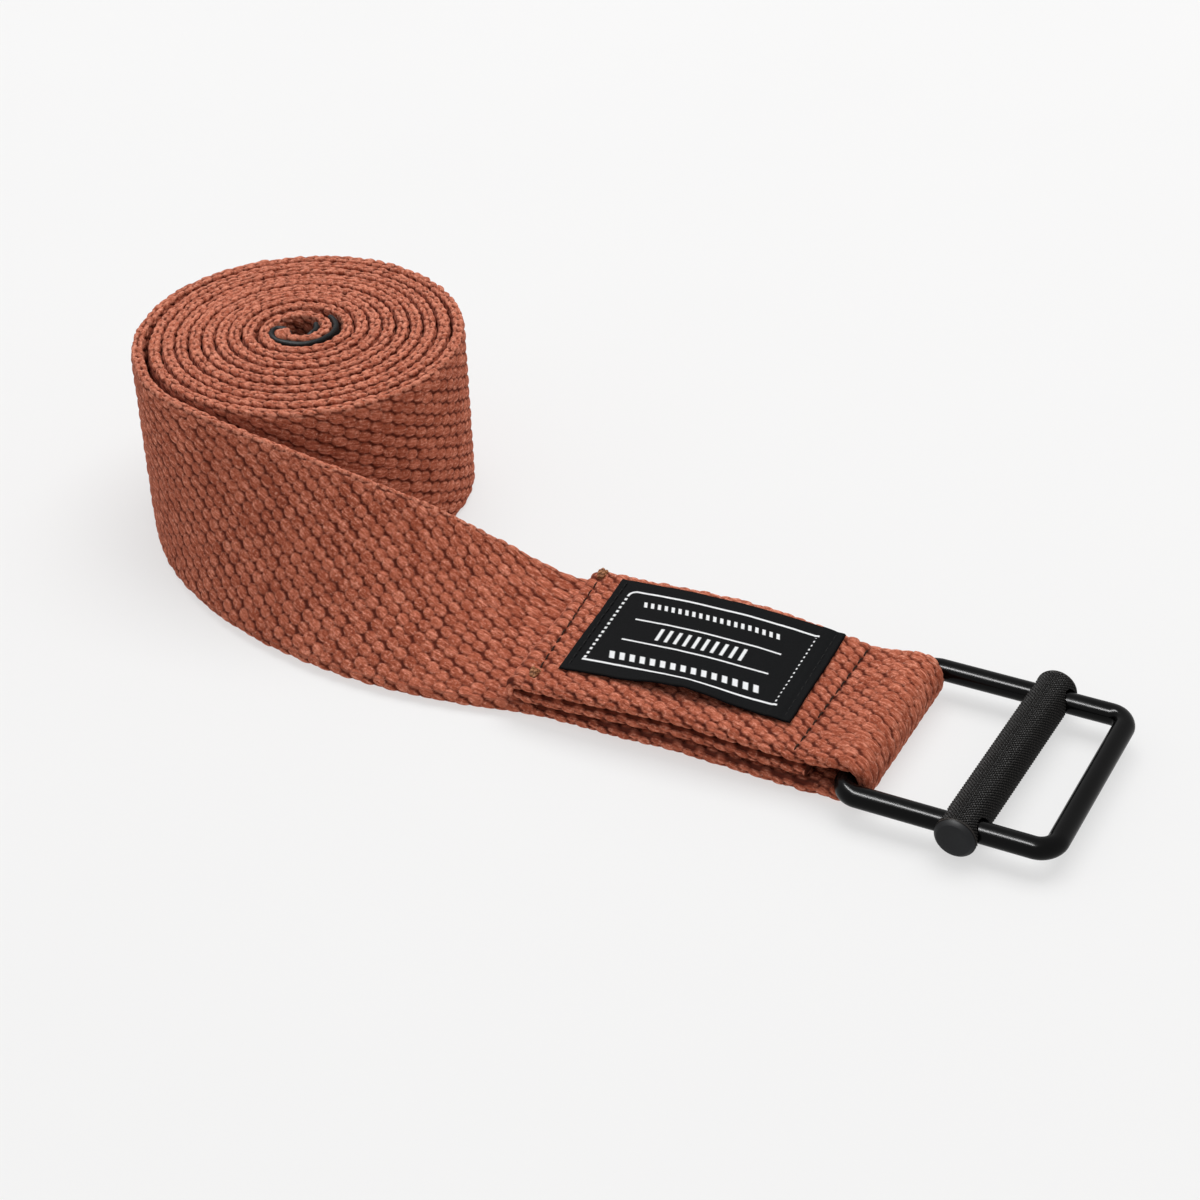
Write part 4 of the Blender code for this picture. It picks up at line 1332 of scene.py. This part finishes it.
def wire_frame():
    """Bent round wire: straight sides, tight bends whose section flattens slightly."""
    half = FRAME_SPREAD / 2 - FRAME_BEND
    low_x, high_x = FRAME_BEND, FRAME_LENGTH - FRAME_BEND
    # Bend centre x and y, and the angle in degrees at which its quarter turn starts
    bends = ((high_x, -half, -90), (high_x, half, 0), (low_x, half, 90), (low_x, -half, 180))

    def on_bend(bend, turned):
        angle = math.radians(bend[2] + turned)
        return np.array(bend[:2]) + FRAME_BEND * np.array([math.cos(angle), math.sin(angle)])

    line, squeeze = [], []
    for k, bend in enumerate(bends):
        for turned in np.linspace(0, 90, 18):
            line.append(on_bend(bend, turned))
            squeeze.append(math.sin(math.radians(2 * turned)) ** 2)
        start, end = on_bend(bend, 90), on_bend(bends[(k + 1) % 4], 0)
        for part in np.linspace(0, 1, 26)[1:-1]:
            line.append(start + (end - start) * part)
            squeeze.append(0.0)
    line, squeeze = np.array(line), np.array(squeeze)
    out = level_normal(np.roll(line, -1, 0) - np.roll(line, 1, 0))
    angle = np.linspace(0, 2 * math.pi, 40, endpoint=False)
    radius = WIRE_DIAMETER / 2
    radial, upward = np.cos(angle), np.sin(angle)
    # Cold bending narrows the section in a bend and makes it a little taller.
    flat = 1 - 0.07 * squeeze[:, None] * (np.abs(radial) ** 2)[None, :]
    tall = 1 + 0.03 * squeeze[:, None] * (upward**2)[None, :]
    rings = np.zeros((len(line), len(angle), 3))
    rings[:, :, :2] = line[:, None] + out[:, None, :2] * (radius * radial[None, :] * flat)[..., None]
    rings[:, :, 0] += BAR_X
    rings[:, :, 2] = BAR_Z + radius * upward[None, :] * tall
    index = np.arange(len(line) * len(angle)).reshape(len(line), len(angle))
    quads = ring_quads(index, np.roll(index, -1, 0))
    mesh = raw_mesh("wire_frame", put(rings.reshape(-1, 3)), quads)
    face_outward(mesh)
    return add("wire_frame", mesh, WIRE)


def bar_rings():
    """Rings of the bar: a diamond knurl between plain chamfered ends, turned a little askew."""
    around, teeth, knurl_depth = 306, 34, 0.20
    full = SLIDER_DIAMETER / 2
    half = SLIDER_LENGTH / 2
    # Distance in from the end, and radius
    head = (
        (0.0, 0.35), (0.0, full * 0.5), (0.0, full - 0.92),
        (0.05, full - 0.82), (0.72, full - 0.16), (0.95, full - 0.05),
    )
    angle = np.linspace(0, 2 * math.pi, around, endpoint=False)
    pitch = 2 * math.pi * full / teeth
    profile = [(-half + inset, np.full(around, radius)) for inset, radius in head]
    for y in np.linspace(-half + 1.05, half - 1.05, 480):
        tooth, advance = angle * teeth / (2 * math.pi), y / pitch
        ridges = [np.abs(((tooth + lead) % 1.0) - 0.5) * 2 for lead in (advance, -advance)]
        depth = knurl_depth * np.maximum(*ridges) ** 2
        profile.append((y, full - 0.03 - depth * fall(abs(y), half - 1.0, 0.5)))
    profile += [(half - inset, np.full(around, radius)) for inset, radius in reversed(head)]
    off = np.array([
        np.stack([radius * np.cos(angle), np.full(around, y), radius * np.sin(angle)], -1)
        for y, radius in profile
    ])
    # The holes are loose on the rails, so the bar sits a little askew.
    skew = math.radians(-SLIDER_SKEW)
    x = off[..., 0] * math.cos(skew) - off[..., 1] * math.sin(skew)
    y = off[..., 0] * math.sin(skew) + off[..., 1] * math.cos(skew)
    return SLIDER_CENTRE + np.stack([x, y, off[..., 2]], -1)


def hole_tool(side):
    """A cylinder along x where a rail passes through the bar."""
    work = bmesh.new()
    radius = SLIDER_HOLE / 2000
    bmesh.ops.create_cone(
        work, cap_ends=True, segments=48, radius1=radius, radius2=radius,
        depth=SLIDER_DIAMETER * 1.6 / 1000,
    )
    quarter_turn = Matrix.Rotation(math.radians(90), 3, "Y")
    bmesh.ops.rotate(work, verts=work.verts, matrix=quarter_turn)
    mesh = bpy.data.meshes.new("hole_tool")
    work.to_mesh(mesh)
    work.free()
    tool = bpy.data.objects.new("hole_tool", mesh)
    bpy.context.scene.collection.objects.link(tool)
    tool.location = put(SLIDER_CENTRE + [0, side * FRAME_SPREAD / 2, 0])
    return tool


def knurled_bar():
    """The turned bar, with a cross hole near each end for the rails."""
    bar = tube("knurled_bar", bar_rings(), KNURL)
    sharpen(bar.data, 40)
    tools = []
    for side in (-1, 1):
        tool = hole_tool(side)
        cut = bar.modifiers.new("hole", "BOOLEAN")
        cut.operation = "DIFFERENCE"
        cut.object = tool
        tools.append(tool)
    bpy.context.view_layer.update()
    graph = bpy.context.evaluated_depsgraph_get()
    made = bpy.data.meshes.new_from_object(bar.evaluated_get(graph))
    bar.modifiers.clear()
    bar.data = made
    for tool in tools:
        bpy.data.objects.remove(tool)
    made.name = "knurled_bar"
    made.materials.clear()
    made.materials.append(KNURL)
    made.materials.append(END_FACE)

    def face_y(key):
        values = np.zeros(len(made.polygons) * 3)
        made.polygons.foreach_get(key, values)
        return values.reshape(-1, 3)[:, 1]

    # The turned end faces have a coating of their own.
    from_middle = np.abs(face_y("center") - put([0, 0, 0])[1])
    end_face = (np.abs(face_y("normal")) > 0.6) & (from_middle > (SLIDER_LENGTH / 2 - 0.6) / 1000)
    made.polygons.foreach_set("material_index", end_face.astype(np.int32))
    made.shade_smooth()
    sharpen(made, 38)
    return bar


ring = wire_frame()
bar = knurled_bar()

# ---- bodies ---------------------------------------------------------------------------------
for piece, body, slot, node in (
    (coil_inner, "coil", "webbing", "strap_coil"),
    (coil_outer, "coil", "webbing", "strap_coil"),
    (pad, "buckle_end", "webbing", "strap_buckle_end"),
    (tip, "coil", "tip_cloth", "tip_cover"),
    (tip_outer_seam, "coil", "black_thread", "tip_needle_thread"),
    (tip_inner_seam, "coil", "black_thread", "tip_bobbin_thread"),
    (label_piece, "buckle_end", "label_cloth", "woven_label"),
    (label_seams[0], "buckle_end", "black_thread", "label_stitch_left"),
    (label_seams[1], "buckle_end", "black_thread", "label_stitch_right"),
    (hem_top, "buckle_end", "brown_thread", "hem_needle_thread"),
    (hem_low, "buckle_end", "brown_thread", "hem_bobbin_thread"),
    (tacks[0], "buckle_end", "brown_thread", "hem_backtack_near"),
    (tacks[1], "buckle_end", "brown_thread", "hem_backtack_far"),
    (buckle_top, "buckle_end", "brown_thread", "buckle_needle_thread"),
    (buckle_low, "buckle_end", "brown_thread", "buckle_bobbin_thread"),
    (ring, "frame", "black_metal", "buckle_frame"),
    (bar, "slider", "black_metal", "slider_bar"),
):
    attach(piece, body)
    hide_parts(node)


def blend_lead(piece, node):
    """Hides the lead's CAD node and the given node, and bakes the piece's placement into its mesh."""
    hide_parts("strap_lead", node)
    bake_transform(piece)


ahead = np.array([UNROLL_LEFT[1], -UNROLL_LEFT[0], 0.0])  # towards the buckle
blend_lead(depart, "strap_coil")

corner, across, normal = (vectors[0] for vectors in tail_frames([BEND_AT])[:3])
ahead = np.cross(across, normal)
ahead = ahead * np.sign(ahead @ (tail_frames([BEND_AT - 5])[0][0] - corner))
blend_lead(bend, "strap_buckle_end")

# ---- stage ----------------------------------------------------------------------------------


def floor_material():
    look = Look("floor_paper")
    grain = look.noise(look.object_vector(), scale=9.0)
    shade = look.ramp(grain, low=0.3, high=0.7)
    look.set("Base Color", look.mix(shade, (0.267, 0.267, 0.267), (0.273, 0.273, 0.273)))
    look.set("Roughness", 0.9)
    look.set("Specular IOR Level", 0.05)
    look.set("Emission Color", (1.0, 0.998, 0.996))
    look.set("Emission Strength", 0.605)
    return look.material


def add_floor():
    material = floor_material()
    work = bmesh.new()
    bmesh.ops.create_grid(work, x_segments=8, y_segments=8, size=3.0)
    mesh = bpy.data.meshes.new("floor")
    work.to_mesh(mesh)
    work.free()
    floor = add("floor", mesh, material)
    floor.location = (0.1, 0, -0.00025)
    floor.visible_glossy = False


def softbox(name, energy, size, place):
    """A rectangular light aimed at the product."""
    data = bpy.data.lights.new(name, "AREA")
    data.energy = energy
    data.shape = "RECTANGLE"
    data.size, data.size_y = size
    obj = bpy.data.objects.new(name, data)
    bpy.context.scene.collection.objects.link(obj)
    obj.location = place
    obj.rotation_mode = "QUATERNION"
    aim = Vector((0.1, 0.0, 0.0)) - Vector(place)
    obj.rotation_quaternion = aim.to_track_quat("-Z", "Y")
    return obj


add_floor()
scene = bpy.context.scene
scene.view_settings.view_transform = "Standard"
world = bpy.data.worlds.new("studio")
scene.world = world
world.use_nodes = True
background = world.node_tree.nodes["Background"]
background.inputs["Color"].default_value = (1.0, 0.995, 0.99, 1.0)
background.inputs["Strength"].default_value = 0.56

key = softbox("overhead", energy=20.0, size=(1.5, 1.1), place=(0.05, 0.65, 1.45))
key.visible_glossy = False
# A narrow strip that shows only as the line of light along the wire.
strip = softbox("strip", energy=62.0, size=(1.7, 0.20), place=(-0.45, -0.34, 1.5))
strip.visible_diffuse = False

# ---- camera ---------------------------------------------------------------------------------
camera_data = bpy.data.cameras.new("camera")
camera_data.sensor_width = 36.0
camera_data.lens = 83.34654
camera_data.clip_start, camera_data.clip_end = 0.01, 20.0
camera = bpy.data.objects.new("camera", camera_data)
scene.collection.objects.link(camera)
forward = Vector((-0.389978, 0.721295, -0.572408)).normalized()
right = forward.cross(Vector((-0.237467, 0.521822, 0.819336))).normalized()
up = right.cross(forward).normalized()
place = Vector(put([188.165, -384.894, 321.865]))
# The columns are the camera's right, up and backward directions and its place.
camera.matrix_world = Matrix((
    (right.x, up.x, -forward.x, place.x),
    (right.y, up.y, -forward.y, place.y),
    (right.z, up.z, -forward.z, place.z),
    (0, 0, 0, 1),
))
scene.camera = camera

bpy.context.view_layer.update()
